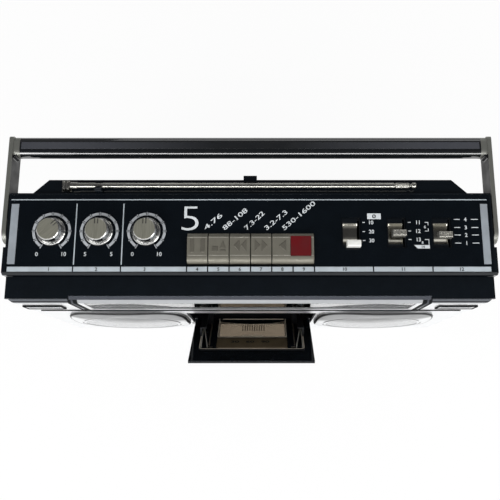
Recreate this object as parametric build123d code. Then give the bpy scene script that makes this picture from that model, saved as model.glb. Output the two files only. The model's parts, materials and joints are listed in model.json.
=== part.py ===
from build123d import *
import math
import os

# Radio cassette player, in millimetres. X runs to the right, Y to the back and Z up.
# The pieces are drawn with Y = 0 at the front edge of the top rail, X = 0 at the middle and
# Z = 0 on the table. When they are written, all are moved along Y together, so that the
# origin lies on the table under the middle of the whole, with the handle folded back and
# the cassette door open.

# General
wall = 3.0
play = 0.3                  # air between neighbours that stay apart
running = 0.05              # radial air of a shaft in its hole
past = 1.0                  # how far a cut runs beyond the face that it opens

# Case
case_width = 430.0
case_depth = 107.0
rail_top = 220.0
rail_thickness = 4.0
seam_y = 18.0
front_bulge = 3.0
bevel_drop = 4.0
corner_radius = 8.0
foot_height = 4.0
foot_radius = 7.0
foot_chamfer = 1.0
foot_inset_x = 25.0
foot_front_y = 10.0
foot_back_inset = 12.0
half = case_width / 2
front_y = -front_bulge
rail_bottom = rail_top - rail_thickness

# Top cover and control plate
panel_rise = 8.0
panel_front = seam_y + 2.0
ledge_depth = 13.0
cover_height = 23.0
cover_wall = 2.5
cover_bevel = 2.0
cheek_step = 2.0
cheek_length = 24.5
plate_thickness = 1.5
plate_margin = 1.5
post_radius = 3.0
shoulder_drop = 20.0
hump_inset = 20.0
hump_taper = 14.0
hump_drop = 2.0
lug_width = 12.0
lug_reach = 3.5
rail_depth = panel_front - play
panel_top = rail_top + panel_rise
panel_back = case_depth - ledge_depth
cover_side = half - play
cheek_side = cover_side + cheek_step
cheek_back = panel_front + cheek_length
cover_bottom = panel_top - cover_height
deck_top = panel_top - plate_thickness
deck_bottom = deck_top - cover_wall
hump_half_front = half - hump_inset
hump_half_back = hump_half_front - hump_taper
hump_top = panel_top - hump_drop
board_top = cover_bottom

# Dial in the middle of the front
separator_inset = 55.4
separator_width = 1.2
separator_spacing = 5.0
dial_margin = 11.6
dial_drop = 5.0
dial_height = 36.5
dial_recess = 1.5
groove_gap = 8.5
groove_inset = 15.0
groove_width = 1.2
groove_depth = 1.0
window_thickness = 3.5
scale_gap = 4.5
scale_thickness = 1.0
scale_post = 2.0
trim_back = 2.4
trim_drop = 2.5
trim_reach = 0.5
pointer_width = 1.6
pointer_air = 1.0
centre_half = half - separator_inset
dial_half = centre_half - dial_margin
dial_top = rail_bottom - dial_drop
dial_bottom = dial_top - dial_height
groove_z = dial_bottom - groove_gap
groove_half = half - groove_inset
dial_front = front_y + dial_recess
window_back = dial_front + window_thickness
scale_front = window_back + scale_gap

# Cassette door, hinged at its lower edge and shown open
door_half = 63.8
door_length = 84.5
door_thickness = 3.0
door_stand = 2.0
door_rim = 1.0
door_open = 34.5
hinge_y = 3.0
hinge_below_groove = 109.8
hinge_pin_radius = 2.0
hinge_pin_length = 4.0
ear_width = 3.3
ear_rim = 2.0
ear_lap = 0.5
ear_waist = 0.75
roll_angle = 60.0
bay_clearance = 0.8
window_half = 35.5
window_low = 4.0
window_high = 59.5
window_lap = 2.0
window_recess = 0.4
holder_half = 53.4
holder_wall = 1.6
holder_depth = 12.6
holder_low = 6.0
holder_high = 38.0
holder_lip = 5.0
rim_high = 64.5
rim_height = 2.0
rim_corner = 4.0
spring_start = 17.3
spring_length = 42.0
spring_width = 4.0
spring_strip = 0.6
spring_bend = 6.4
spring_air = 0.3
spring_root = 4.5
hinge_z = groove_z - hinge_below_groove
roll_radius = hinge_y - front_y + door_stand
bay_bottom = hinge_z - roll_radius - bay_clearance
bay_top = hinge_z + door_length + bay_clearance

# Tape deck behind the door
deck_wall = 2.5
deck_back = 18.0
deck_below_hinge = 12.2
deck_above_door = 8.5
spindle_spacing = 42.5
spindle_above_hinge = 39.8
spindle_radius = 3.0
spindle_neck = 2.4
spindle_point = 1.5
spindle_cone = 2.0
spindle_reach = 11.0
spindle_fin = 1.2
fin_thickness = 1.2
reel_radius = 9.0
reel_thickness = 3.0
capstan_x = 27.0
capstan_above_hinge = 61.8
capstan_radius = 1.2
flywheel_radius = 18.0
flywheel_thickness = 8.0
flywheel_gap = 1.9
motor_x = -35.0
motor_above_hinge = 15.8
motor_radius = 15.0
motor_length = 26.0
pulley_radius = 3.75
pulley_length = 6.0
head_width = 13.0
head_height = 11.0
head_above_hinge = 79.8
head_foot = 2.0
deck_half = door_half + bay_clearance + hinge_pin_length
deck_low = hinge_z - deck_below_hinge
deck_high = bay_top + deck_above_door
spindle_z = hinge_z + spindle_above_hinge
capstan_z = hinge_z + capstan_above_hinge
motor_z = hinge_z + motor_above_hinge
head_z = hinge_z + head_above_hinge
spindle_tip = deck_back - deck_wall - spindle_reach

# Speakers
grille_gap = 2.2
grille_inset = 31.0
grille_margin = 5.0
grille_height = 122.0
grille_bow = 6.0
grille_dome = 380.0
grille_edge = 1.0
grille_corner = 18.0
grille_border = 9.0
grille_stand = 9.0
grille_skin = 1.2
basket_rim = 6.0
basket_flange = 3.0
basket_step = 5.0
basket_depth = 26.0
cone_edge = 5.0
cone_fold = 8.0
cone_bottom = 18.0
cap_edge_radius = 14.0
cap_radius_inner = 10.0
cap_edge_depth = 16.0
cap_depth = 14.0
magnet_radius = 32.0
magnet_neck = 25.6
magnet_depth = 16.0
tweeter_inset = 26.5
tweeter_below_dial = 20.0
tweeter_width = 33.0
tweeter_height = 15.0
tweeter_depth = 16.0
tweeter_flange = 2.2
tweeter_front = 1.0
grille_inner = door_half + grille_gap
grille_outer = half - grille_inset
grille_width = grille_outer - grille_inner
woofer_x = (grille_inner + grille_outer) / 2
woofer_z = groove_z - grille_margin - grille_height / 2
cone_radius = min(grille_width, grille_height) / 2 - grille_border
basket_radius = cone_radius + basket_rim
tweeter_x = half - tweeter_inset
tweeter_z = dial_top - tweeter_below_dial

# Piano keys
key_count = 6
key_pitch = 18.6
key_gap = 0.8
keys_centre = 0.6
key_inset = 9.4
key_length = 27.2
key_bevel = 3.6
key_crown = 4.2
key_lip = 7.0
key_lip_drop = 1.0
key_lip_arc = (2.1, 2.9)
key_skirt = 6.0
record_width = 18.0
record_length = 17.4
record_inset = 6.8
record_border = 2.4            # metal of the play key to the right of the record button
record_depth = 2.4
record_rise = 0.25
record_travel = 1.2
record_air = 0.2
record_stem_radius = 2.0
record_stem = 4.0
key_shaft_inset = 16.0
key_shaft_drop = 16.0
key_shaft_radius = 1.5
lever_width = 5.0
lever_height = 7.4
riser_depth = 8.0
key_well_play = 1.5
bracket_width = 3.0
bracket_half = 5.0
bracket_low = 4.0
key_front = panel_front + key_inset
key_back = key_front + key_length
key_side = key_count * key_pitch / 2
key_shaft_y = panel_back - key_shaft_inset
key_shaft_z = panel_top - key_shaft_drop
key_top = panel_top + key_crown
record_x = keys_centre + key_side - key_gap / 2 - record_border - record_width / 2
record_front = key_front + record_inset
record_middle = record_front + record_length / 2
record_floor = key_top - key_lip_drop - record_depth

# Rotary knobs, between the left side and the keys
knob_inset = 40.0
knob_to_keys = 36.2
knob_offset_y = 1.4
skirt_radius = 12.7
skirt_height = 2.6
cap_radius = 10.4
cap_height = 8.5
cap_taper = 0.4
cap_foot = 0.8
cap_hollow = 0.4
knob_chamfer = 0.8
knob_groove = 0.8
knob_groove_spacing = 2.6
knob_groove_depth = 1.0
knob_groove_start = 4.6
stem_radius = 3.0
stem_foot = 3.0
volume_turned = 45.0
pot_size = 17.0
pot_height = 9.0
pot_floor = 2.0
bush_radius = 4.5
knob_first = knob_inset - half
knob_last = keys_centre - key_side - knob_to_keys
knob_xs = (knob_first, (knob_first + knob_last) / 2, knob_last)
knob_y = (panel_front + panel_back) / 2 + knob_offset_y

# Slide switches, between the keys and the right side
switch_to_keys = 32.9
switch_inset = 45.7
well_width = 17.2
well_length = 27.0
well_inset = 22.7
trough_width = 15.0
trough_front_lap = 3.1
trough_back_lap = 4.9
trough_sag = 4.0
well_foot = 3.0
well_foot_front = 2.4
well_foot_back = 3.0
tab_width = 12.0
tab_depth = 5.4
tab_height = 7.6
tab_offset = 1.5
tab_starts = (2.4, 11.7, 10.1)
tab_stem_width = 1.0
tab_stem_aside = 4.9          # from the middle of the tab towards its right end
tab_stem_depth = 3.0
tab_stem_foot = 3.0
switch_body_height = 10.0
switch_body_lap = 3.0
switch_floor = 2.0
switch_first = keys_centre + key_side + switch_to_keys
switch_last = half - switch_inset
switch_xs = (switch_first, (switch_first + switch_last) / 2, switch_last)
well_back = panel_back - well_inset
well_front = well_back - well_length
trough_front = well_front + trough_front_lap
trough_back = well_back - trough_back_lap

# Folding handle
handle_inset = 34.0
handle_height = 21.0
handle_reach = 88.9
arm_gap = 0.8
arm_thickness = 3.7
grip_lap = 5.9
grip_depth = 18.8
grip_height = 14.5
grip_drop = 0.5
grip_corner = 6.0
arm_corner = 3.0
pivot_radius = 4.0
pivot_head_radius = 7.0
pivot_head = 1.2
pivot_boss = 9.0
arm_inside = half + arm_gap
arm_outside = arm_inside + arm_thickness
grip_half = arm_inside - grip_lap
handle_pivot_y = panel_back - handle_inset
handle_pivot_z = panel_top - handle_height / 2

# Telescopic antenna, lying on the ledge behind the panel
antenna_inset_y = 7.0
antenna_inset_x = 51.0
antenna_lift = 5.2
antenna_pin_radius = 1.5
antenna_foot = (5.0, 4.0, 0.4)
cheek_radius = 3.4
tube_radii = (2.4, 1.9, 1.35)
tube_end_inset = 87.0
tube_step = 1.5
collar_radius = 2.2
collar_length = 11.5
collar_slope = 0.6
neck_radius = 1.2
neck_length = 1.0
ball_radius = 2.7
knuckle_width = 4.0
knuckle_rim = 0.4
knuckle_waist = 0.8
knuckle_length = 6.3
sleeve_rim = 0.6
sleeve_length = 6.0
sleeve_lap = 2.0
fork_wall = 1.8
clip_from_pivot = 29.0
clip_width = 6.0
clip_wall = 2.0
clip_front = 2.8
clip_rise = 2.5
antenna_y = case_depth - antenna_inset_y
antenna_z = hump_top + antenna_lift
antenna_pivot_x = antenna_inset_x - half
antenna_start = antenna_pivot_x + knuckle_length
tube_end = half - tube_end_inset
clip_x = antenna_pivot_x + clip_from_pivot

# Tuning knob on the right side
tuning_inset = 39.0
tuning_drop = 42.0
tuning_radius = 17.0
tuning_height = 5.0
tuning_dish = 1.0
tuning_shaft_radius = 3.0
tuning_shaft_length = 14.0
tuning_y = case_depth - tuning_inset
tuning_z = rail_top - tuning_drop

# Power
bay_inset = 120.0
bay_depth = 45.0
bay_low = 9.5
bay_high = 76.0
bay_wall = 2.5
hatch_margin_x = 7.0
hatch_margin_low = 4.5
hatch_margin_high = 4.0
hatch_pin_radius = 0.9
hatch_rim = 1.35
contact_thickness = 1.0
contact_margin = 4.0
contact_back = 12.0
cell_spacing = 32.0
seat_radius = 8.0
seat_point = 5.0
seat_height = 7.0
inlet_inset = 50.0
inlet_drop = 125.0
inlet_width = 17.0
inlet_height = 10.0
inlet_depth = 14.0
inlet_floor = 2.0
inlet_rim = 2.0
inlet_rim_thickness = 1.0
inlet_wall = 1.2
inlet_pin_offset = 4.3
inlet_pin_radius = 1.1
transformer_width = 46.0
transformer_depth = 36.0
transformer_height = 40.0
winding_drop = 4.0
transformer_back = 27.0
socket_inset = 65.0
socket_drop = 70.0
socket_radius = 1.8
socket_wall = 1.5
socket_rim = 1.2
socket_stand = 0.8
socket_spacing = 20.0
socket_depth = 12.0
screw_radius = 1.5
screw_head_radius = 3.4
screw_head_top = 2.72
screw_head = 1.2
screw_head_edge = 0.96
screw_slot = 4.0
screw_slot_width = 0.8
screw_length = 10.0
bay_half = half - bay_inset
bay_front = case_depth - bay_depth
hatch_half = bay_half - hatch_margin_x
hatch_low = bay_low + hatch_margin_low
hatch_high = bay_high - hatch_margin_high
inlet_x = inlet_inset - half
inlet_z = rail_top - inlet_drop
transformer_y = case_depth - transformer_back
socket_x = half - socket_inset
socket_z = rail_top - socket_drop

# Circuit board
board_thickness = 1.6
board_inset = 10.0
can_xs = (-60.0, -20.0, 30.0, 75.0)
can_radius = 6.0
can_length = 16.0
can_inset = 12.0
coil_left = 110.0
coil_right = 150.0
coil_depth = 20.0
coil_inset = 10.0
coil_height = 8.0
board_half = half - board_inset


def block(x0, x1, y0, y1, z0, z1):
    """Box between two opposite corners."""
    centre = Pos((x0 + x1) / 2, (y0 + y1) / 2, (z0 + z1) / 2)
    return centre * Box(x1 - x0, y1 - y0, z1 - z0)


def outline(*points):
    """Flat face inside straight lines through the points."""
    return make_face(Polyline(*points, close=True))


def from_front(sketch, y0, y1):
    """Solid between y0 and y1 from an outline drawn as seen from the front."""
    return extrude(Plane(origin=(0, y1, 0), x_dir=(1, 0, 0), z_dir=(0, -1, 0)) * sketch, amount=y1 - y0)


def from_top(sketch, z0, z1):
    """Solid between z0 and z1 from an outline drawn as seen from above."""
    return extrude(Pos(0, 0, z0) * sketch, amount=z1 - z0)


def from_side(sketch, x0, x1):
    """Solid between x0 and x1 from an outline of (y, z) points."""
    return extrude(Plane(origin=(x0, 0, 0), x_dir=(0, 1, 0), z_dir=(1, 0, 0)) * sketch, amount=x1 - x0)


def round_bar(start, direction, radius, length):
    """Cylinder that starts at a point and runs along a direction."""
    bar = Cylinder(radius, length, align=(Align.CENTER, Align.CENTER, Align.MIN))
    return Plane(origin=start, z_dir=direction) * bar


def turned(points, origin, direction):
    """Round solid from half its section, as (radius, height) points along a direction."""
    section = Plane.XZ * outline(*points)
    return Plane(origin=origin, z_dir=direction) * revolve(section, Axis.Z)


def joined(shapes):
    """One shape from several, fused where they meet."""
    result = shapes[0]
    for shape in shapes[1:]:
        result += shape
    return result


def mirrored(shape):
    """The same shape on the other side of the middle."""
    return mirror(shape, about=Plane.YZ)


# Front of the case

def front_plan(inset):
    """Top view of the front shell, with its two front corners rounded."""
    depth = seam_y - front_y
    plan = Pos(0, front_y + depth / 2) * Rectangle(case_width, depth)
    plan = fillet(plan.vertices().group_by(Axis.Y)[0], corner_radius)
    return offset(plan, -inset, kind=Kind.INTERSECTION) if inset else plan


def front_shell():
    """Hollow front half of the case, open at its back."""
    outer_side = outline((front_y, foot_height), (front_y, rail_bottom - bevel_drop), (0, rail_bottom),
                         (seam_y, rail_bottom), (seam_y, foot_height))
    outer = from_top(front_plan(0), foot_height, rail_bottom) & from_side(outer_side, -half, half)
    inner_top = rail_bottom - wall
    inner_side = outline((front_y + wall, foot_height + wall), (front_y + wall, inner_top - bevel_drop / 2),
                         (front_y + wall + bevel_drop / 2, inner_top), (seam_y + wall, inner_top),
                         (seam_y + wall, foot_height + wall))
    cavity_plan = front_plan(wall) + Pos(0, seam_y) * Rectangle(case_width - 2 * wall, 2 * wall)
    cavity = from_top(cavity_plan, foot_height + wall, inner_top) & from_side(inner_side, -half, half)
    return outer - cavity


def front_cabinet():
    """Silver front with holes for the dial, the speakers and the cassette door."""
    shell = front_shell()
    inside = front_y + wall
    before = front_y - wall
    shell -= block(-dial_half, dial_half, before, inside + play, dial_bottom, dial_top)
    bay_side = door_half + bay_clearance
    shell -= block(-bay_side, bay_side, before, inside + play, bay_bottom, bay_top)
    for side in (-1, 1):
        cone_hole = Pos(side * woofer_x, woofer_z) * Circle(cone_radius)
        shell -= from_front(cone_hole, before, inside + play)
        tweeter_hole = Pos(side * tweeter_x, tweeter_z) * Rectangle(tweeter_width - 2 * tweeter_flange,
                                                                   tweeter_height - 2 * tweeter_flange)
        shell -= from_front(tweeter_hole, before, inside + play)
        for inset in (0, separator_spacing):
            middle = side * (centre_half - inset - separator_width / 2)
            shell -= block(middle - separator_width / 2, middle + separator_width / 2, before,
                           front_y + groove_depth, groove_z, rail_bottom)
    shell -= block(-groove_half, groove_half, before, front_y + groove_depth,
                   groove_z - groove_width / 2, groove_z + groove_width / 2)
    return shell


def front_top_rail():
    """Gloss black cap on the front shell, set back at the middle for the trim."""
    rail = block(-half, half, 0, rail_depth, rail_bottom, rail_top)
    return rail - block(-centre_half, centre_half, -past, trim_back, rail_bottom - past, rail_top + past)


def dial_trim():
    """Bright strip above the dial, sloping down to the front."""
    section = outline((trim_back, rail_top), (-trim_reach, rail_top - trim_drop),
                      (-trim_reach, rail_bottom), (trim_back, rail_bottom))
    return from_side(section, play - centre_half, centre_half - play)


def dial_window():
    """Clear glossy dial cover that fills its opening, with a flange behind the wall."""
    pane = block(play - dial_half, dial_half - play, dial_front, front_y + wall,
                 dial_bottom + play, dial_top - play)
    margin = wall / 2
    flange = block(-dial_half - margin, dial_half + margin, front_y + wall, window_back,
                   dial_bottom - margin, dial_top - play)
    return pane + flange


def dial_scale():
    """Flat printed plate behind the pointer, on two posts that reach the window."""
    plate = block(-dial_half, dial_half, scale_front, scale_front + scale_thickness, dial_bottom, dial_top)
    for side in (-1, 1):
        near = side * (dial_half - wall)
        plate += block(near - scale_post / 2, near + scale_post / 2, window_back, scale_front,
                       dial_bottom, dial_top)
    return plate


def tuning_pointer():
    """Thin upright bar that slides along the dial."""
    middle = (dial_bottom + dial_top) / 2
    reach = (dial_top - dial_bottom) / 2 - wall
    return block(-pointer_width / 2, pointer_width / 2, window_back + pointer_air + play, scale_front - play,
                 middle - reach, middle + reach)


# Rear of the case

def rear_cabinet():
    """Black rear shell with the ledge for the antenna and the battery bay."""
    shoulder = cover_bottom - shoulder_drop
    outer_side = outline((seam_y, foot_height), (case_depth, foot_height), (case_depth, shoulder),
                         (panel_back, cover_bottom), (seam_y, cover_bottom))
    shell = from_side(outer_side, -half, half)
    hump_plan = outline((-hump_half_front, panel_back + play), (-hump_half_back, case_depth),
                        (hump_half_back, case_depth), (hump_half_front, panel_back + play))
    hump_foot = shoulder - wall
    shell += from_top(hump_plan, hump_foot, hump_top)
    inner_side = outline((seam_y - wall, foot_height + wall), (case_depth - wall, foot_height + wall),
                         (case_depth - wall, shoulder - wall / 2), (panel_back - wall, cover_bottom + wall),
                         (seam_y - wall, cover_bottom + wall))
    shell -= from_side(inner_side, wall - half, half - wall)
    hollow = hump_half_back - 2 * wall
    shell -= block(-hollow, hollow, panel_back + cover_wall, case_depth - wall,
                   hump_foot - wall, hump_top - wall)
    shell += block(-lug_width / 2, lug_width / 2, case_depth - wall, case_depth + lug_reach,
                   hump_top - lug_width / 2, hump_top + wall / 2)
    shell += battery_bay()
    back_inside = case_depth - wall - past
    back_outside = case_depth + past
    shell -= block(-hatch_half, hatch_half, back_inside, back_outside, hatch_low, hatch_high)
    shell -= hatch_pins(running)
    shell -= block(inlet_x - inlet_width / 2, inlet_x + inlet_width / 2, back_inside, back_outside,
                   inlet_z - inlet_height / 2, inlet_z + inlet_height / 2)
    socket_half = socket_spacing / 2 + socket_radius + wall
    shell -= block(socket_x - socket_half, socket_x + socket_half, back_inside, back_outside,
                   socket_z - 2 * wall, socket_z + 2 * wall)
    for x, z in screw_places():
        shell -= round_bar((x, back_outside, z), (0, -1, 0), screw_radius, wall + 2 * past)
    side = (half + past, tuning_y, tuning_z)
    shell -= round_bar(side, (-1, 0, 0), tuning_shaft_radius + running, wall + 2 * past)
    return shell - round_bar(side, (-1, 0, 0), tuning_radius + past, past + tuning_dish)


def battery_bay():
    """Box inside the rear shell for the cells, open at the back."""
    low = foot_height + 0.7 * wall
    box = block(-bay_half - bay_wall, bay_half + bay_wall, bay_front - bay_wall, case_depth - wall / 2,
                low, bay_high + bay_wall)
    return box - block(-bay_half, bay_half, bay_front, case_depth, bay_low, bay_high)


def hatch_pivot():
    """Where the battery door turns, as (y, z)."""
    return case_depth - wall / 2, hatch_low + wall


def hatch_pins(air):
    """The two short pins of the battery door, or their holes with some air around."""
    y, z = hatch_pivot()
    pin = round_bar((hatch_half - wall, y, z), (1, 0, 0), hatch_pin_radius + air, 2 * wall)
    return pin + mirrored(pin)


def battery_door():
    """Cover of the battery bay with a finger notch, turning on two short pins."""
    air = 2 * play
    door = block(air - hatch_half, hatch_half - air, case_depth - wall, case_depth,
                 hatch_low + air, hatch_high - air)
    lower = door.edges().filter_by(Axis.X).group_by(Axis.Z)[0]
    door = fillet(lower, hatch_rim)
    notch = 3 * wall
    door -= block(-notch, notch, case_depth - wall / 2, case_depth + past, hatch_high - notch, hatch_high)
    return door + hatch_pins(0)


def battery_contacts():
    """Contact plates with a round spring seat at both ends of the battery bay."""
    inner = bay_half - contact_thickness
    back = case_depth - contact_back
    plate = block(inner, bay_half, bay_front + contact_margin, back,
                  bay_low + contact_margin, bay_high - contact_margin)
    middle_y = (bay_front + case_depth - 3 * wall) / 2
    middle_z = (bay_low + bay_high) / 2
    for z in (middle_z - cell_spacing / 2, middle_z + cell_spacing / 2):
        plate += turned([(0, 0), (seat_radius, 0), (seat_point, seat_height), (0, seat_height)],
                        (inner, middle_y, z), (-1, 0, 0))
    return plate + mirrored(plate)


def screw_places():
    """Screws in the back wall, as (x, z)."""
    side = half - 4 * wall
    low = foot_height + 5 * wall
    high = cover_bottom - shoulder_drop - 4 * wall
    return [(-side, low), (side, low), (-side, high), (side, high), (-bay_half - 6 * wall, high),
            (bay_half + 6 * wall, high)]


def cabinet_screws():
    """Screws with domed heads that hold the two shells together."""
    screws = []
    reach = screw_slot / 2
    narrow = screw_slot_width / 2
    for x, z in screw_places():
        screw = round_bar((x, case_depth, z), (0, -1, 0), screw_radius, screw_length)
        head = turned([(0, 0), (screw_head_radius, 0), (screw_head_top, screw_head_edge),
                       (0, screw_head)], (x, case_depth, z), (0, 1, 0))
        slot_floor = case_depth + screw_head / 2
        slot_end = case_depth + 2 * screw_head
        head -= block(x - reach, x + reach, slot_floor, slot_end, z - narrow, z + narrow)
        head -= block(x - narrow, x + narrow, slot_floor, slot_end, z - reach, z + reach)
        screws.append(screw + head)
    return joined(screws)


def feet():
    """Four round rubber feet."""
    places = []
    for x in (foot_inset_x - half, half - foot_inset_x):
        for y in (foot_front_y, case_depth - foot_back_inset):
            places.append(turned([(0, 0), (foot_radius - foot_chamfer, 0), (foot_radius, foot_chamfer),
                                  (foot_radius, foot_height), (0, foot_height)], (x, y, 0), (0, 0, 1)))
    return joined(places)


# Top cover and control plate

def key_x(index):
    """Middle of a key, counted from the left."""
    return keys_centre + (index - (key_count - 1) / 2) * key_pitch


def key_well(margin):
    """Opening that the keys move in."""
    side = key_side + margin
    return keys_centre - side, keys_centre + side, key_front - key_well_play - margin, key_back + margin


def top_cover():
    """Upper shell: side walls, cheeks before the handle, and the deck under the control plate."""
    side = outline((panel_front, cover_bottom), (panel_front, panel_top - cover_bevel * 1.5),
                   (panel_front + cover_bevel, panel_top), (panel_back, panel_top),
                   (panel_back, cover_bottom))
    cover = from_side(side, -cover_side, cover_side)
    cheeks = from_side(side, -cheek_side, cheek_side)
    cover += cheeks & block(-case_width, case_width, 0, cheek_back, 0, panel_top)
    inner = cover_side - cover_wall
    cover -= block(-inner, inner, panel_front + cover_wall, panel_back - cover_wall,
                   cover_bottom - past, deck_bottom)
    cover -= block(plate_margin - cover_side, cover_side - plate_margin, panel_front + cover_bevel + play,
                   panel_back - plate_margin, deck_top, panel_top + past)
    low, high = deck_bottom - past, deck_top + past
    x0, x1, y0, y1 = key_well(play)
    cover -= block(x0, x1, y0, y1, low, high)
    for x in knob_xs:
        cover -= round_bar((x, knob_y, low), (0, 0, 1), bush_radius, high - low)
    for x in switch_xs:
        reach = trough_width / 2
        cover -= block(x - reach, x + reach, trough_front - well_foot_front,
                       trough_back + well_foot_back, low, high)
    for x in (x0 - bracket_width, x1):
        cover += block(x, x + bracket_width, key_shaft_y - bracket_half, key_shaft_y + bracket_half,
                       key_shaft_z - bracket_low, deck_bottom)
    cover -= key_shaft_bar(key_shaft_radius)
    for x in (-1, 1):
        post_x = x * (inner - pivot_boss)
        for y in (panel_front + 4 * wall, panel_back - 3 * wall):
            cover += round_bar((post_x, y, board_top), (0, 0, 1), post_radius, deck_bottom - board_top)
        start = (post_x, handle_pivot_y, handle_pivot_z)
        cover += round_bar(start, (x, 0, 0), pivot_radius + cover_wall, pivot_boss)
        cover -= round_bar(start, (x, 0, 0), pivot_radius, 2 * pivot_boss)
    return cover


def control_plate():
    """Thin gloss plate with the holes for knobs, keys and switches."""
    margin = plate_margin + play / 2
    plate = block(margin - cover_side, cover_side - margin, panel_front + cover_bevel + 1.5 * play,
                  panel_back - margin, deck_top, panel_top)
    low, high = deck_top - past, panel_top + past
    x0, x1, y0, y1 = key_well(0)
    plate -= block(x0, x1, y0, y1, low, high)
    for x in knob_xs:
        plate -= round_bar((x, knob_y, low), (0, 0, 1), bush_radius, high - low)
    for x in switch_xs:
        plate -= block(x - well_width / 2, x + well_width / 2, well_front, well_back, low, high)
    return plate


def potentiometers():
    """Three rotary controls under the deck, each with a bush that its knob's stem turns in."""
    pots = []
    reach = pot_size / 2
    for x in knob_xs:
        body_top = board_top + pot_height
        pot = block(x - reach, x + reach, knob_y - reach, knob_y + reach, board_top, body_top)
        pot += round_bar((x, knob_y, body_top), (0, 0, 1), bush_radius - play, deck_top - body_top)
        pot -= round_bar((x, knob_y, board_top + pot_floor), (0, 0, 1), stem_radius + running, panel_top)
        pots.append(pot)
    return joined(pots)


def knob(x):
    """Round knob: wide skirt, tapered cap, two pointer grooves and a stem."""
    foot = panel_top + 2 * play
    step = foot + skirt_height
    top = step + cap_height
    rim = cap_radius - cap_taper
    points = [(0, foot), (skirt_radius - knob_chamfer, foot), (skirt_radius, foot + knob_chamfer),
              (skirt_radius, step - knob_chamfer), (skirt_radius - knob_chamfer, step),
              (cap_radius + cap_foot, step), (cap_radius + cap_hollow, step + cap_foot),
              (rim, top - knob_chamfer), (rim - knob_chamfer, top), (0, top)]
    body = turned(points, (0, 0, 0), (0, 0, 1))
    for side in (-1, 1):
        left = side * knob_groove_spacing / 2 - knob_groove / 2
        body -= block(left, left + knob_groove, knob_groove_start, skirt_radius,
                      top - knob_groove_depth, top + past)
    body += round_bar((0, 0, board_top + stem_foot), (0, 0, 1), stem_radius, foot - board_top - stem_foot)
    return Pos(x, knob_y, 0) * body


def volume_knob():
    """The left knob, shown turned an eighth of a turn to the right."""
    x = knob_xs[0]
    return Pos(x, knob_y, 0) * Rot(Z=-volume_turned) * Pos(-x, -knob_y, 0) * knob(x)


def key_levers(index):
    """Lever of one key back to the key shaft, and the riser that carries the cap on it."""
    x0 = key_x(index) - lever_width / 2
    low = key_shaft_z - lever_height / 2
    riser_front = key_back - riser_depth
    lever = block(x0, x0 + lever_width, riser_front, key_shaft_y, low, low + lever_height)
    lever += round_bar((x0, key_shaft_y, key_shaft_z), (1, 0, 0), lever_height / 2, lever_width)
    return lever + block(x0, x0 + lever_width, riser_front, key_back, low, key_top - 2 * key_bevel)


def key(first, last):
    """Piano key over one or more places: bevelled cap with a round front lip, and levers to the key shaft."""
    side = key_pitch / 2 - key_gap / 2
    low = deck_bottom - key_skirt
    lip_back = key_front + key_lip
    arc_y, arc_drop = key_lip_arc
    with BuildSketch() as section:
        with BuildLine():
            Polyline((key_back, low), (key_back, key_top - key_bevel), (key_back - key_bevel, key_top),
                     (lip_back, key_top - key_lip_drop))
            ThreePointArc((lip_back, key_top - key_lip_drop), (key_front + arc_y, key_top - arc_drop),
                          (key_front, key_top - key_lip))
            Polyline((key_front, key_top - key_lip), (key_front, low), (key_back, low))
        make_face()
    cap = from_side(section.sketch, key_x(first) - side, key_x(last) + side)
    for index in range(first, last + 1):
        cap += key_levers(index)
    return cap - key_shaft_bar(key_shaft_radius + running)


def play_key():
    """Wide key over the last two places, with a pocket at its right for the record button."""
    sunk = record_travel + record_air
    wide = key(key_count - 2, key_count - 1)
    wide -= block(record_x - record_width / 2 - record_air, record_x + record_width / 2 + record_air,
                  record_front - record_air, record_front + record_length + record_air,
                  record_floor - sunk, key_top + past)
    bore = record_stem + sunk
    return wide - round_bar((record_x, record_middle, record_floor - bore), (0, 0, 1),
                            record_stem_radius + running, bore)


def record_button():
    """Square button in the play key, its top sloped as the key's, with a round stem below."""
    slope = key_lip_drop / (key_length - key_bevel - key_lip)
    back = record_front + record_length
    at_front = key_top + record_rise - (key_back - key_bevel - record_front) * slope
    at_back = key_top + record_rise - (key_back - key_bevel - back) * slope
    section = outline((record_front, record_floor), (back, record_floor), (back, at_back),
                      (record_front, at_front))
    button = from_side(section, record_x - record_width / 2, record_x + record_width / 2)
    return button + round_bar((record_x, record_middle, record_floor), (0, 0, -1), record_stem_radius,
                              record_stem)


def key_shaft_bar(radius):
    """Bar along the row of keys with the given radius."""
    x0, x1, _, _ = key_well(play)
    return round_bar((x0 - bracket_width, key_shaft_y, key_shaft_z), (1, 0, 0), radius,
                     x1 - x0 + 2 * bracket_width)


def switch_wells():
    """Three bright hollow inserts that the switch tabs slide over."""
    wells = []
    top = deck_top + plate_thickness / 2
    span = trough_back - trough_front
    hollow_radius = (span * span / 4 + trough_sag * trough_sag) / (2 * trough_sag)
    middle = (trough_front + trough_back) / 2
    slit = tab_stem_width / 2 + play
    for x in switch_xs:
        reach = well_width / 2 - play
        well = block(x - reach, x + reach, well_front + play, well_back - play, deck_top, top)
        reach = trough_width / 2 - play
        well += block(x - reach, x + reach, trough_front - well_foot_front + play,
                      trough_back + well_foot_back - play, deck_bottom - well_foot, deck_top)
        hollow = round_bar((x - well_width, middle, top + hollow_radius - trough_sag), (1, 0, 0),
                           hollow_radius, 2 * well_width)
        well -= hollow & block(x - reach, x + reach, 0, panel_back, 0, panel_top)
        stem_x = x + tab_offset + tab_stem_aside
        well -= block(stem_x - slit, stem_x + slit, well_front + 2 * play, well_back - 2 * play,
                      deck_bottom - well_foot - past, top + past)
        wells.append(well)
    return joined(wells)


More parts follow.
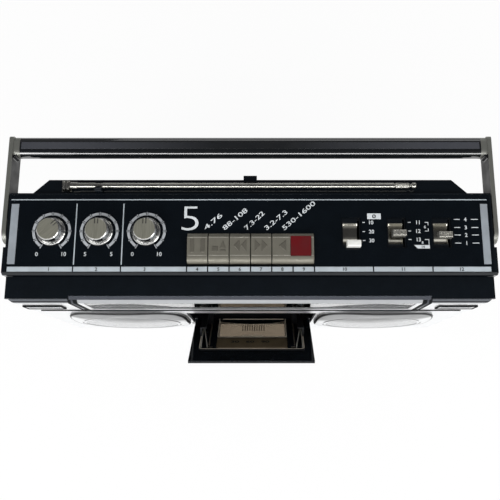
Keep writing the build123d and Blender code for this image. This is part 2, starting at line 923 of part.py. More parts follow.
def slide_switches():
    """Three switch bodies on the board with a channel for the slider's stem."""
    bodies = []
    reach = tab_width / 2
    slit = tab_stem_width / 2 + play
    top = board_top + switch_body_height
    for x in switch_xs:
        stem_x = x + tab_offset + tab_stem_aside
        body = block(stem_x - reach, stem_x + reach, well_front - switch_body_lap,
                     well_back + switch_body_lap, board_top, top)
        body -= block(stem_x - slit, stem_x + slit, well_front - past, well_back + past,
                      board_top + switch_floor, top + past)
        bodies.append(body)
    return joined(bodies)


def switch_tab(index):
    """Slider of one switch: a square tab with a flat stem down into the switch."""
    x = switch_xs[index] + tab_offset
    y = well_front + tab_starts[index]
    foot = panel_top + play
    tab = block(x - tab_width / 2, x + tab_width / 2, y - tab_depth / 2, y + tab_depth / 2,
                foot, foot + tab_height)
    upper = tab.edges().group_by(Axis.Z)[-1]
    tab = fillet(upper, knob_chamfer)
    stem_x = x + tab_stem_aside
    return tab + block(stem_x - tab_stem_width / 2, stem_x + tab_stem_width / 2, y - tab_stem_depth / 2,
                       y + tab_stem_depth / 2, board_top + tab_stem_foot, foot)


# Cassette door and deck

def open_door(shape):
    """Turn a piece of the closed door about the hinge to the open door's place."""
    return Pos(0, hinge_y, hinge_z) * Rot(X=door_open) * Pos(0, -hinge_y, -hinge_z) * shape


def door_faces():
    """Outer and inner face of the closed door, as y values."""
    outer = front_y - door_stand
    return outer, outer + door_thickness


def door_roll():
    """Section of the door's round lower edge, as (y, z)."""
    outer, inner = door_faces()
    angles = (math.radians(180 + roll_angle / 2), math.radians(180 + roll_angle))
    rims = [[(hinge_y + r * math.cos(a), hinge_z + r * math.sin(a)) for a in angles]
            for r in (roll_radius, roll_radius - door_thickness)]
    with BuildSketch() as section:
        with BuildLine():
            ThreePointArc((outer, hinge_z), rims[0][0], rims[0][1])
            Line(rims[0][1], rims[1][1])
            ThreePointArc(rims[1][1], rims[1][0], (inner, hinge_z))
            Line((inner, hinge_z), (outer, hinge_z))
        make_face()
    return section.sketch


def cassette_door():
    """Door frame around the window, with a round lower edge, ears and hinge pins."""
    outer, inner = door_faces()
    low = hinge_z
    frame = block(-door_half, door_half, outer, inner, low, low + door_length)
    rim = frame.edges().filter_by(Axis.X).group_by(Axis.Z)[-1]
    frame = fillet(rim, door_rim)
    frame -= block(-window_half, window_half, outer - past, inner + past, low + window_low, low + window_high)
    ledge = window_half + window_lap
    frame -= block(-ledge, ledge, inner - door_thickness / 2, inner + past,
                   low + window_low - window_lap, low + window_high + window_lap)
    frame += from_side(door_roll(), -door_half, door_half)
    ear_in = door_half - ear_width
    ear_reach = hinge_pin_radius + ear_rim
    ear = from_side(Pos(hinge_y, hinge_z) * Circle(ear_reach), ear_in, door_half)
    waist = ear_waist * ear_reach
    ear += block(ear_in, door_half, inner - ear_lap, hinge_y, hinge_z - waist, hinge_z + waist)
    ear += round_bar((door_half, hinge_y, hinge_z), (1, 0, 0), hinge_pin_radius, hinge_pin_length)
    frame += ear + mirrored(ear)
    return open_door(frame)


def door_window():
    """Smoked window in the door, set in from the inner side."""
    outer, inner = door_faces()
    step = inner - door_thickness / 2
    side = window_half + window_lap - play / 2
    pane = block(-side, side, step, inner,
                 hinge_z + window_low - window_lap + play / 2, hinge_z + window_high + window_lap - play / 2)
    side = window_half - play / 2
    pane += block(-side, side, outer + window_recess, step,
                  hinge_z + window_low + play / 2, hinge_z + window_high - play / 2)
    return open_door(pane)


def pocket_outline(half_width, top):
    """Outline of the cassette's place on the door, open towards the hinge, with two round corners."""
    low = hinge_z + holder_low
    plan = outline((-half_width, low), (-half_width, top), (half_width, top), (half_width, low))
    return fillet(plan.vertices().group_by(Axis.Y)[-1], rim_corner)


def door_guides():
    """Low rim around the cassette's place, and two tall holders with lips near the hinge."""
    _, inner = door_faces()
    low = hinge_z + holder_low
    high = hinge_z + holder_high
    back = inner + holder_depth
    outside = holder_half + holder_wall
    far = hinge_z + rim_high
    rim = pocket_outline(outside, far) - pocket_outline(holder_half, far - holder_wall)
    guide = block(holder_half, outside, inner, back, low, high)
    guide += block(holder_half - holder_lip, outside, back - holder_wall, back, low, high)
    guide += block(holder_half - 2 * holder_lip, outside, inner, back, low, low + holder_wall)
    return open_door(from_front(rim, inner, inner + rim_height) + guide + mirrored(guide))


def door_springs():
    """V-shaped leaf springs on the door that press on the cassette's edges."""
    _, inner = door_faces()
    low = hinge_z + spring_start
    high = low + spring_length
    side = holder_half - spring_air
    free = side - spring_bend
    strip = outline((side, low), (side, high), (side - spring_strip, high),
                    (side - spring_strip, low + spring_root), (free, high), (free - spring_strip, high),
                    (side - 2 * spring_strip, low))
    spring = from_front(strip, inner, inner + spring_width)
    return open_door(spring + mirrored(spring))


def deck_chassis():
    """Tray behind the door that carries the tape drive and the door's hinge pins."""
    front = front_y + wall
    inside = deck_back - deck_wall
    tray = block(-deck_half, deck_half, front, deck_back, deck_low, deck_high)
    inner = deck_half - deck_wall
    tray -= block(-inner, inner, front - past, inside, deck_low + deck_wall, deck_high - deck_wall)
    tray -= round_bar((-deck_half - past, hinge_y, hinge_z), (1, 0, 0), hinge_pin_radius + running,
                      2 * (deck_half + past))
    through = deck_wall + 2 * past
    for x in (-spindle_spacing / 2, spindle_spacing / 2):
        tray -= round_bar((x, inside - past, spindle_z), (0, 1, 0), spindle_radius + running, through)
    bearing = (capstan_x, inside - past, capstan_z)
    return tray - round_bar(bearing, (0, 1, 0), capstan_radius + running, through)


def spindle(x):
    """Reel spindle with three fins and a small reel table behind the chassis."""
    start = (x, spindle_tip, spindle_z)
    back = deck_back + play
    length = back - spindle_tip
    post = turned([(0, 0), (spindle_point, 0), (spindle_neck, spindle_cone), (spindle_neck, spindle_reach),
                   (spindle_radius, spindle_reach), (spindle_radius, length), (0, length)], start, (0, 1, 0))
    for turn in (90, 210, 330):
        fin = block(0, spindle_radius + spindle_fin, spindle_tip + spindle_cone,
                    spindle_tip + spindle_reach - spindle_cone, -fin_thickness / 2, fin_thickness / 2)
        post += Pos(x, 0, spindle_z) * Rot(Y=turn) * fin
    return post + round_bar((x, back, spindle_z), (0, 1, 0), reel_radius, reel_thickness)


def capstan():
    """Drive shaft with its flywheel behind the reel tables."""
    wheel = deck_back + reel_thickness + flywheel_gap
    shaft = round_bar((capstan_x, spindle_tip, capstan_z), (0, 1, 0), capstan_radius, wheel - spindle_tip)
    return shaft + round_bar((capstan_x, wheel, capstan_z), (0, 1, 0), flywheel_radius, flywheel_thickness)


def drive_motor():
    """Round motor on the back of the chassis with a small pulley."""
    motor = round_bar((motor_x, deck_back, motor_z), (0, 1, 0), motor_radius, motor_length)
    pulley_start = (motor_x, deck_back + motor_length, motor_z)
    return motor + round_bar(pulley_start, (0, 1, 0), pulley_radius, pulley_length)


def tape_head():
    """Magnetic head with its mounting foot on the chassis."""
    back = deck_back - deck_wall
    low = head_z - head_height / 2
    head = block(-head_width / 2, head_width / 2, spindle_tip, back, low, low + head_height)
    return head + block(-head_width, head_width, back - head_foot, back, head_z, low + head_height)


# Speakers

def grille_outline():
    """Square with round corners and sides that bow outwards."""
    side, top = grille_width / 2, grille_height / 2
    corner_x, corner_z = side - grille_bow, top - grille_bow
    with BuildSketch() as plan:
        with BuildLine():
            ThreePointArc((-corner_x, corner_z), (0, top), (corner_x, corner_z))
            ThreePointArc((corner_x, corner_z), (side, 0), (corner_x, -corner_z))
            ThreePointArc((corner_x, -corner_z), (0, -top), (-corner_x, -corner_z))
            ThreePointArc((-corner_x, -corner_z), (-side, 0), (-corner_x, corner_z))
        make_face()
        fillet(plan.vertices(), grille_corner)
    return plan.sketch


def grille(side):
    """Bowed metal grille, thin over the cone and as deep as its frame around it."""
    x = side * woofer_x
    front = front_y - grille_stand
    plate = from_front(Pos(x, woofer_z) * grille_outline(), front, front_y)
    plate &= Pos(x, front + grille_dome, woofer_z) * Sphere(grille_dome)
    plate = fillet(plate.edges().filter_by(lambda e: e.center().Y < front_y - grille_edge), grille_edge)
    hollow = Pos(x, front + grille_dome, woofer_z) * Sphere(grille_dome - grille_skin)
    return plate - (hollow & round_bar((x, front, woofer_z), (0, 1, 0), cone_radius, grille_stand + past))


def woofer(side):
    """Loudspeaker: mounting rim, cone, basket and magnet in one driver."""
    profile = [(cone_radius - cone_edge, 0), (basket_radius, 0), (basket_radius, basket_flange),
               (cone_radius - basket_flange, basket_step), (magnet_neck, basket_depth),
               (magnet_radius, basket_depth), (magnet_radius, basket_depth + magnet_depth),
               (0, basket_depth + magnet_depth), (0, cap_depth), (cap_radius_inner, cap_edge_depth),
               (cap_edge_radius, cone_bottom), (cone_radius - cone_fold, basket_flange)]
    return turned(profile, (side * woofer_x, front_y + wall, woofer_z), (0, 1, 0))


def tweeter(side):
    """Small rectangular treble unit with a horn mouth in its front."""
    x = side * tweeter_x
    width = tweeter_width - 2 * tweeter_flange - 2 * play
    height = tweeter_height - 2 * tweeter_flange - 2 * play
    front = front_y - tweeter_front
    flange = block(x - tweeter_width / 2, x + tweeter_width / 2, front, front_y,
                   tweeter_z - tweeter_height / 2, tweeter_z + tweeter_height / 2)
    body = block(x - width / 2, x + width / 2, front_y, front_y + tweeter_depth,
                 tweeter_z - height / 2, tweeter_z + height / 2)
    mouth = Plane(origin=(x, front, tweeter_z), x_dir=(1, 0, 0), z_dir=(0, 1, 0))
    throat = mouth.offset(tweeter_depth / 3)
    horn = loft([mouth * Rectangle(width, height), throat * Rectangle(width / 2, height / 2)])
    return flange + body - horn


# Handle

def handle_arm(side):
    """Flat metal arm with a round end at the pivot and a corner block at the grip."""
    y, z = handle_pivot_y, handle_pivot_z
    end = y + handle_reach
    plan = Pos(y, z) * Circle(handle_height / 2)
    plan += Pos((y + end) / 2, z) * Rectangle(end - y, handle_height)
    arm = from_side(plan, arm_inside, arm_outside)
    back_edges = arm.edges().filter_by(Axis.X).group_by(Axis.Y)[-1]
    arm = fillet(back_edges, arm_corner)
    arm += from_side(grip_section(), grip_half, arm_inside)
    arm -= round_bar((arm_inside - past, y, z), (1, 0, 0), pivot_radius + running, arm_thickness + 2 * past)
    head = arm_outside - pivot_head - play / 2
    arm -= round_bar((head, y, z), (1, 0, 0), pivot_head_radius + play, arm_thickness)
    return arm if side > 0 else mirrored(arm)


def grip_section():
    """Rounded section of the grip, just under the top of the arms."""
    end = handle_pivot_y + handle_reach
    top = handle_pivot_z + handle_height / 2 - grip_drop
    section = RectangleRounded(grip_depth, grip_height, grip_corner)
    return Pos(end - grip_depth / 2, top - grip_height / 2) * section


def handle_grip():
    """Long grip between the two arms."""
    return from_side(grip_section(), -grip_half, grip_half)


def handle_pins():
    """Two pins in the top cover that the arms turn on."""
    inner = cover_side - cover_wall - pivot_boss
    head = arm_outside - play / 2 - pivot_head
    pin = round_bar((inner, handle_pivot_y, handle_pivot_z), (1, 0, 0), pivot_radius, head - inner)
    pin += round_bar((head, handle_pivot_y, handle_pivot_z), (1, 0, 0), pivot_head_radius, pivot_head)
    return pin + mirrored(pin)


# Antenna

def antenna_base():
    """Foot on the ledge with two cheeks and the pin that the antenna tilts on."""
    wide = knuckle_width / 2 + fork_wall + play
    x = antenna_pivot_x
    left, right, height = antenna_foot
    foot = block(x - left, x + right, antenna_y - wide, antenna_y + wide, hump_top, hump_top + height)
    cheek = block(x - cheek_radius, x + cheek_radius, antenna_y + wide - fork_wall, antenna_y + wide,
                  hump_top, antenna_z)
    cheek += round_bar((x, antenna_y + wide - fork_wall, antenna_z), (0, 1, 0), cheek_radius, fork_wall)
    other = Pos(0, fork_wall - 2 * wide, 0) * cheek
    pin = round_bar((x, antenna_y - wide, antenna_z), (0, 1, 0), antenna_pin_radius, 2 * wide)
    return foot + cheek + other + pin


def antenna_knuckle():
    """Flat eye on the pin with a sleeve for the outer tube."""
    x = antenna_pivot_x
    reach = knuckle_width / 2
    radius = tube_radii[0] + knuckle_rim
    eye = round_bar((x, antenna_y - reach, antenna_z), (0, 1, 0), radius, knuckle_width)
    sleeve = round_bar((antenna_start - sleeve_lap, antenna_y, antenna_z), (1, 0, 0),
                       tube_radii[0] + sleeve_rim, sleeve_length)
    half_neck = knuckle_waist * radius
    neck = block(x, antenna_start - sleeve_lap / 2, antenna_y - reach, antenna_y + reach,
                 antenna_z - half_neck, antenna_z + half_neck)
    body = eye + neck + sleeve
    body -= round_bar((antenna_start, antenna_y, antenna_z), (1, 0, 0), tube_radii[0] + running,
                      sleeve_length)
    return body - round_bar((x, antenna_y - knuckle_width, antenna_z), (0, 1, 0),
                            antenna_pin_radius + running, 2 * knuckle_width)


def antenna_tube(index):
    """One drawn tube of the antenna, the outermost first."""
    start = antenna_start + index * tube_step
    end = tube_end + index * tube_step
    tube = round_bar((start, antenna_y, antenna_z), (1, 0, 0), tube_radii[index], end - start)
    if index + 1 < len(tube_radii):
        bore = tube_radii[index + 1] + running
        return tube - round_bar((start + tube_step / 2, antenna_y, antenna_z), (1, 0, 0), bore, end - start)
    neck_end = collar_length + collar_slope + neck_length
    profile = [(0, 0), (collar_radius, 0), (collar_radius, collar_length),
               (neck_radius, collar_length + collar_slope), (neck_radius, neck_end + past),
               (0, neck_end + past)]
    tip = turned(profile, (end - past, antenna_y, antenna_z), (1, 0, 0))
    return tube + tip + Pos(end - past + neck_end + ball_radius, antenna_y, antenna_z) * Sphere(ball_radius)


def antenna_clip():
    """Open clip on the ledge that the stowed antenna lies in, higher in front than behind."""
    side = tube_radii[0] + play
    top = antenna_z + tube_radii[0]
    front = antenna_y - side
    back = antenna_y + side
    section = outline((front - clip_front, hump_top), (front - clip_front, antenna_z),
                      (front - clip_wall / 2, top + clip_rise), (front, top + clip_rise),
                      (front, antenna_z - side),
                      (back, antenna_z - side), (back, antenna_z), (back + clip_wall, antenna_z),
                      (back + clip_wall, hump_top))
    return from_side(section, clip_x - clip_width / 2, clip_x + clip_width / 2)


# Tuning, power and inner parts

def tuning_knob():
    """Round knob in a dish on the right side, with its shaft."""
    start = half - tuning_dish + play
    rim = from_side(Pos(tuning_y, tuning_z) * Circle(tuning_radius), start, start + tuning_height)
    rim = chamfer(rim.edges().group_by(Axis.X)[-1], knob_chamfer)
    return rim + round_bar((start, tuning_y, tuning_z), (-1, 0, 0), tuning_shaft_radius, tuning_shaft_length)


def mains_inlet():
    """Two-pin mains inlet set in the back wall."""
    width = inlet_width / 2 - play
    height = inlet_height / 2 - play
    floor = case_depth - inlet_depth
    body = block(inlet_x - width, inlet_x + width, floor - inlet_floor, case_depth,
                 inlet_z - height, inlet_z + height)
    body += block(inlet_x - width - inlet_rim, inlet_x + width + inlet_rim,
                  case_depth, case_depth + inlet_rim_thickness,
                  inlet_z - height - inlet_rim, inlet_z + height + inlet_rim)
    width -= inlet_wall
    height -= inlet_wall
    body -= block(inlet_x - width, inlet_x + width, floor, case_depth + inlet_rim_thickness + past,
                  inlet_z - height, inlet_z + height)
    for x in (inlet_x - inlet_pin_offset, inlet_x + inlet_pin_offset):
        body += round_bar((x, floor - inlet_floor / 2, inlet_z), (0, 1, 0), inlet_pin_radius,
                          inlet_depth - inlet_floor)
    return body


def transformer():
    """Mains transformer: winding between two stacks of plates, on the floor of the case."""
    z = foot_height + wall
    top = z + transformer_height
    core_x, core_y = transformer_width / 2, transformer_depth / 4
    core = block(inlet_x - core_x, inlet_x + core_x, transformer_y - core_y, transformer_y + core_y, z, top)
    coil_x, coil_y = transformer_width / 3, transformer_depth / 2
    return core + block(inlet_x - coil_x, inlet_x + coil_x, transformer_y - coil_y, transformer_y + coil_y,
                        z + winding_drop, top - winding_drop)


def socket_panel():
    """Back plate with two round sockets for plugs."""
    side = socket_spacing / 2 + socket_radius + wall - play
    height = 2 * wall - play
    back = case_depth - wall
    panel = block(socket_x - side, socket_x + side, back, case_depth, socket_z - height, socket_z + height)
    places = (socket_x - socket_spacing / 2, socket_x + socket_spacing / 2)
    for x in places:
        panel += round_bar((x, back, socket_z), (0, -1, 0), socket_radius + socket_wall, socket_depth)
        panel += round_bar((x, case_depth, socket_z), (0, 1, 0), socket_radius + socket_rim, socket_stand)
    for x in places:
        panel -= round_bar((x, case_depth + past, socket_z), (0, -1, 0), socket_radius, socket_depth + past)
    return panel


def main_board():
    """Circuit board under the controls, with a few tall parts on its lower side."""
    low = board_top - board_thickness
    back = panel_back - 2 * wall
    board = block(-board_half, board_half, panel_front + cover_wall + wall, back, low, board_top)
    for x in can_xs:
        board += round_bar((x, back - can_inset, low), (0, 0, -1), can_radius, can_length)
    coil_back = back - coil_inset
    return board + block(coil_left, coil_right, coil_back - coil_depth, coil_back, low - coil_height, low)


nodes = {
    "front_cabinet": front_cabinet(),
    "front_top_rail": front_top_rail(),
    "rear_cabinet": rear_cabinet(),
    "top_cover": top_cover(),
    "control_plate": control_plate(),
    "dial_trim": dial_trim(),
    "dial_window": dial_window(),
    "dial_scale": dial_scale(),
    "tuning_pointer": tuning_pointer(),
    "tuning_knob": tuning_knob(),
    "grille_left": grille(-1),
    "grille_right": grille(1),
    "woofer_left": woofer(-1),
    "woofer_right": woofer(1),
    "tweeter_left": tweeter(-1),
    "tweeter_right": tweeter(1),
    "volume_knob": volume_knob(),
    "balance_knob": knob(knob_xs[1]),
    "tone_knob": knob(knob_xs[2]),
    "potentiometers": potentiometers(),
    "pause_key": key(0, 0),
    "stop_key": key(1, 1),
    "forward_key": key(2, 2),
    "rewind_key": key(3, 3),
    "play_key": play_key(),
    "record_key": record_button(),
    "key_shaft": key_shaft_bar(key_shaft_radius),
    "switch_wells": switch_wells(),
    "slide_switches": slide_switches(),
    "function_tab": switch_tab(0),
    "mode_tab": switch_tab(1),
    "band_tab": switch_tab(2),
    "handle_arm_left": handle_arm(-1),
    "handle_arm_right": handle_arm(1),
    "handle_grip": handle_grip(),
    "handle_pins": handle_pins(),
    "antenna_base": antenna_base(),
    "antenna_knuckle": antenna_knuckle(),
    "antenna_outer_tube": antenna_tube(0),
    "antenna_middle_tube": antenna_tube(1),
    "antenna_tip_rod": antenna_tube(2),
    "antenna_clip": antenna_clip(),
    "cassette_door": cassette_door(),
    "door_window": door_window(),
    "door_guides": door_guides(),
    "door_springs": door_springs(),
    "deck_chassis": deck_chassis(),
    "supply_spindle": spindle(-spindle_spacing / 2),
    "take_up_spindle": spindle(spindle_spacing / 2),
    "capstan": capstan(),
    "drive_motor": drive_motor(),
    "tape_head": tape_head(),
    "main_board": main_board(),
    "transformer": transformer(),
    "mains_inlet": mains_inlet(),
    "socket_panel": socket_panel(),
    "battery_door": battery_door(),
    "battery_contacts": battery_contacts(),
    "feet": feet(),
    "cabinet_screws": cabinet_screws(),
}

front_end = nodes["cassette_door"].bounding_box().min.Y
back_end = nodes["handle_grip"].bounding_box().max.Y
origin_y = (front_end + back_end) / 2

os.makedirs("parts", exist_ok=True)
for name, shape in nodes.items():
    export_step(Pos(0, -origin_y, 0) * shape, f"parts/{name}.step")
print(len(nodes), "pieces written; the origin is", round(origin_y, 3), "mm behind the rail's front edge")
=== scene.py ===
# %% [markdown]
# A portable radio cassette player, seen from above and a little in front. The solids come from
# the CAD frame and stay as they are. This lesson dresses them: it gives every solid a finish of
# its own, and adds the printed marks, the perforated grilles and the small trim.

# %% The frame
import json
import math

import bpy
import numpy as np
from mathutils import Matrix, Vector


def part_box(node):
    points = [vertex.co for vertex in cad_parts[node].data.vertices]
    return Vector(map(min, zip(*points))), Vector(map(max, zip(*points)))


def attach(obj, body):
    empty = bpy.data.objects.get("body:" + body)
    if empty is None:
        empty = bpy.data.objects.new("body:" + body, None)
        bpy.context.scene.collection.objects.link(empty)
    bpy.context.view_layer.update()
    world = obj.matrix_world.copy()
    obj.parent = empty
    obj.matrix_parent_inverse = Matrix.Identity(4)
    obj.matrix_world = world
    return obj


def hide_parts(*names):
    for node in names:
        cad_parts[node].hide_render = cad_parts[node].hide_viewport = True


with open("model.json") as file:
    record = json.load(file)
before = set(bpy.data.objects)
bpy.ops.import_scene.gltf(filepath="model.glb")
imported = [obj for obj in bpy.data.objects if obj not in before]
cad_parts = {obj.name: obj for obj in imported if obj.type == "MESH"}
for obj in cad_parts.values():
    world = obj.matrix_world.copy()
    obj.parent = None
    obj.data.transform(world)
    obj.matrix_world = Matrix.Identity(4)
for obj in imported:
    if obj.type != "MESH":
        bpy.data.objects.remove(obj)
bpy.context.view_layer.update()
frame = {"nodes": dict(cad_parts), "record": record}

nodes = frame["nodes"]

# %% [markdown]
# The maker thinks in millimetres, measured from the front edge of the top rail, and Blender in
# metres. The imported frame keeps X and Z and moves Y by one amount, which can be read from the
# rail's own box, so nothing has to be typed twice.

# %% Millimetres to metres
MM = 0.001
rail_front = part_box("front_top_rail")[0][1]


def to_metres(points):
    """Points in millimetres to points in metres: each is times 0.001, and Y starts at the rail's edge."""
    return np.asarray(points, float) * MM + (0.0, rail_front, 0.0)


def box_mm(name):
    """Lowest and highest corner of a solid in millimetres, from the rail's front edge."""
    return [(np.asarray(corner) - (0.0, rail_front, 0.0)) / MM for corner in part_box(name)]


print("rail's front edge at", round(rail_front / MM, 2), "mm")

# %% [markdown]
# Most of the new pieces are a section carried along a path. That is one grid of points, with
# the section's points in its columns and the places along the path in its rows. The faces are
# then the same four-cornered pattern everywhere, so they can be worked out as whole arrays.

# %% Surfaces from grids


def carried(rows, closed=False):
    """Solid from a grid (places, section points, 3), whose quads join neighbouring rows and columns.

    The section always closes on itself. The path closes too, or gets a flat cap at each end."""
    rows = np.asarray(rows, float)
    n, m = rows.shape[:2]
    i = np.arange(n if closed else n - 1)[:, None]
    j = np.arange(m)[None, :]
    a, b = i % n * m, (i + 1) % n * m
    faces = np.stack([a + j, b + j, b + (j + 1) % m, a + (j + 1) % m], -1).reshape(-1, 4).tolist()
    if not closed:
        faces += [list(range(m)), list(range(n * m - 1, (n - 1) * m - 1, -1))]
    return rows.reshape(-1, 3), faces


def outward(points, faces):
    """The faces turned to point outwards: the signed volume, a third of the sum of each corner triangle's
    box product over two, must be above zero."""
    total = 0.0
    for count in {len(f) for f in faces}:
        some = np.array([f for f in faces if len(f) == count])
        for k in range(1, count - 1):
            a, b, c = (points[some[:, q]] for q in (0, k, k + 1))
            total += np.einsum("ij,ij->", a, np.cross(b, c))
    return faces if total > 0 else [f[::-1] for f in faces]


def plane(origin, across, up):
    """Function that lays flat drawings on a plane: point = origin + u across + v up + w normal."""
    across, up = np.asarray(across, float), np.asarray(up, float)
    normal = np.cross(across, up)

    def lay(uvw):
        uvw = np.asarray(uvw, float)
        return np.asarray(origin, float) + uvw[..., :1] * across + uvw[..., 1:2] * up + uvw[..., 2:] * normal

    return lay


least_cosine = 0.3


def line_strip(path, width, low, high, closed=False):
    """Flat strip of one width along a path of (u, v), between two heights: each place moves to both sides
    along the path's normal, by half the width over the cosine of half the turn there."""
    path = np.asarray(path, float)
    if closed:
        ahead, behind = np.roll(path, -1, 0), np.roll(path, 1, 0)
    else:
        ahead, behind = np.vstack([path[1:], path[-1:]]), np.vstack([path[:1], path[:-1]])
    one, two = ahead - path, path - behind
    for d in (one, two):
        length = np.linalg.norm(d, axis=1, keepdims=True)
        d /= np.where(length > 0, length, 1)
    one[(one == 0).all(1)] = two[(one == 0).all(1)]
    two[(two == 0).all(1)] = one[(two == 0).all(1)]
    mean = one + two
    mean /= np.linalg.norm(mean, axis=1, keepdims=True)
    mitre = 1 / np.clip((mean * one).sum(1, keepdims=True), least_cosine, 1)
    side = np.stack([-mean[:, 1], mean[:, 0]], 1) * mitre * width / 2
    left, right = path + side, path - side
    section = ((left, low), (right, low), (right, high), (left, high))
    return carried(np.stack([np.column_stack([p, np.full(len(p), h)]) for p, h in section], 1), closed)


def rectangle(u0, u1, v0, v1):
    """The four corners of a rectangle, in order."""
    return [(u0, v0), (u1, v0), (u1, v1), (u0, v1)]


def tile(u0, u1, v0, v1, low, high):
    """Flat block over a rectangle, between two heights."""
    return carried([[(u, v, h) for u, v in rectangle(u0, u1, v0, v1)] for h in (low, high)])


def arc(centre, radius, start, end, count):
    """Points (u, v) on a circle: centre + radius (sin a, cos a), with a running clockwise from the top."""
    a = np.radians(np.linspace(start, end, count))
    return np.column_stack([centre[0] + radius * np.sin(a), centre[1] + radius * np.cos(a)])


def lathed(name, profile, count):
    """Solid around a node's own axis along X: each place has its x and a radius for each direction."""
    low, high = box_mm(name)
    y, z = (low[1] + high[1]) / 2, (low[2] + high[2]) / 2
    a = np.radians(np.arange(count) * 360 / count)
    return carried([np.column_stack([np.full(count, x), y + radius * np.cos(a), z + radius * np.sin(a)])
                    for x, radius in profile])


def laid(lay, parts):
    """The parts with their points placed on a plane."""
    return [(lay(points), faces) for points, faces in parts]


def piece(name, parts, material, body="cabinet", smooth=True, sharp=40):
    """One object from parts in millimetres, riding on a body; edges over an angle in degrees stay sharp."""
    points, faces, start = [], [], 0
    for p, f in parts:
        p = to_metres(p)
        points.append(p)
        faces += [[start + k for k in q] for q in outward(p - p.mean(0), f)]
        start += len(p)
    mesh = bpy.data.meshes.new(name)
    mesh.from_pydata(np.vstack(points).tolist(), [], faces)
    if smooth:
        mesh.shade_smooth()
        mesh.set_sharp_from_angle(angle=math.radians(sharp))
    mesh.materials.append(material)
    made = bpy.data.objects.new(name, mesh)
    bpy.context.collection.objects.link(made)
    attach(made, body)
    print(name, "has", len(faces), "faces and rides on", body)
    return made

# %% [markdown]
# A finish is more than a colour. Moulded plastic has a faint waviness and a little dust, and
# drawn metal has a grain. These effects are used by many materials, so each is a node group
# that is built once. A group only hands out masks and values, and the shader stays outside.

# %% Groups for wear and grain


def put(tree, value, socket):
    """Set an input to a number or colour, or link it from another node's output."""
    if isinstance(value, bpy.types.NodeSocket):
        tree.links.new(value, socket)
    else:
        socket.default_value = value


def wire(tree, made, **inputs):
    """Fill a node's inputs by their names, with an underscore for a space."""
    for label, value in inputs.items():
        put(tree, value, made.inputs[label.replace("_", " ")])
    return made


def node(tree, kind, **inputs):
    """New shader node with the inputs given."""
    return wire(tree, tree.nodes.new("ShaderNode" + kind), **inputs)


def grouped(tree, group, **inputs):
    """Outputs of a new node that uses a group."""
    made = tree.nodes.new("ShaderNodeGroup")
    made.node_tree = group
    return wire(tree, made, **inputs).outputs


def new_group(name, vectors, numbers):
    """Empty group that takes vectors and hands out numbers; returns it with its two end nodes."""
    group = bpy.data.node_groups.new(name, "ShaderNodeTree")
    for label in vectors:
        group.interface.new_socket(label, in_out="INPUT", socket_type="NodeSocketVector")
    for label in numbers:
        group.interface.new_socket(label, in_out="OUTPUT", socket_type="NodeSocketFloat")
    return group, group.nodes.new("NodeGroupInput"), group.nodes.new("NodeGroupOutput")


def noise(tree, vector, scale, detail=2.0, roughness=0.5):
    """Noise, from 0 to 1, at a vector."""
    return node(tree, "TexNoise", Vector=vector, Scale=scale, Detail=detail, Roughness=roughness).outputs[0]


def mapped(tree, value, low, high, to_low=0.0, to_high=1.0):
    """Number moved from one range to another and kept inside it."""
    return node(tree, "MapRange", Value=value, From_Min=low, From_Max=high, To_Min=to_low,
                To_Max=to_high).outputs["Result"]


def maths(tree, what, a, b=None):
    """One arithmetic step on sockets or numbers."""
    made = tree.nodes.new("ShaderNodeMath")
    made.operation = what
    for socket, value in zip(made.inputs, (a, b)):
        if value is not None:
            put(tree, value, socket)
    return made.outputs[0]


def build_wear():
    """Handling wear: hairline scratches where a stretched noise crosses its middle, dust where a fine one
    peaks, and slow waves."""
    group, ends_in, ends_out = new_group("handling_wear", ("Vector",), ("Scratches", "Dust", "Waves"))
    place = ends_in.outputs["Vector"]
    turned = node(group, "Mapping", Vector=place, Rotation=(0.3, 0.2, 0.6), Scale=(30.0, 900.0, 250.0))
    crossing = maths(group, "SUBTRACT", noise(group, turned.outputs[0], 1.0, 1.0), 0.5)
    hairlines = mapped(group, maths(group, "ABSOLUTE", crossing), 0.0, 0.012, 1.0, 0.0)
    patches = mapped(group, noise(group, place, 25.0), 0.5, 0.62)
    specks = mapped(group, noise(group, place, 2600.0, 0.0), 0.74, 0.8)
    wire(group, ends_out, Scratches=maths(group, "MULTIPLY", hairlines, patches), Dust=specks,
         Waves=noise(group, place, 90.0, 1.0))
    return group


def build_grain():
    """Brushed grain: noise on a vector that is multiplied by the stretch, which draws it out into hairs."""
    group, ends_in, ends_out = new_group("drawn_grain", ("Vector", "Stretch"), ("Grain",))
    drawn = group.nodes.new("ShaderNodeVectorMath")
    drawn.operation = "MULTIPLY"
    for socket, label in zip(drawn.inputs, ("Vector", "Stretch")):
        put(group, ends_in.outputs[label], socket)
    wire(group, ends_out, Grain=noise(group, drawn.outputs[0], 1.0, 3.0, 0.6))
    return group


wear_group = build_wear()
grain_group = build_grain()
print("groups:", wear_group.name, grain_group.name)

# %% [markdown]
# Every finish starts as a Principled shader. Its colour is varied a little by the wear masks,
# and its roughness is raised where there is dust or a scratch. Numbers that are the same all
# over, such as the share of metal, are typed on the shader itself.

# %% A finish from the shader and the groups


def paint(red, green, blue):
    """Screen colour, from 0 to 255, as the linear colour that Blender wants: the power law of sRGB."""
    c = np.array([red, green, blue]) / 255
    return (*np.where(c <= 0.04045, c / 12.92, ((c + 0.055) / 1.055) ** 2.4).tolist(), 1.0)


def mixed(tree, mask, a, b):
    """Colour between a and b by a mask; a and b are colours or sockets."""
    made = tree.nodes.new("ShaderNodeMix")
    made.data_type = "RGBA"
    for k, value in ((0, mask), (6, a), (7, b)):
        put(tree, value, made.inputs[k])
    return made.outputs[2]


rough_spread, bump_depth = 0.15, 0.00004
hair_colour, hair_rough, hair_height = 0.35, 0.08, 0.15


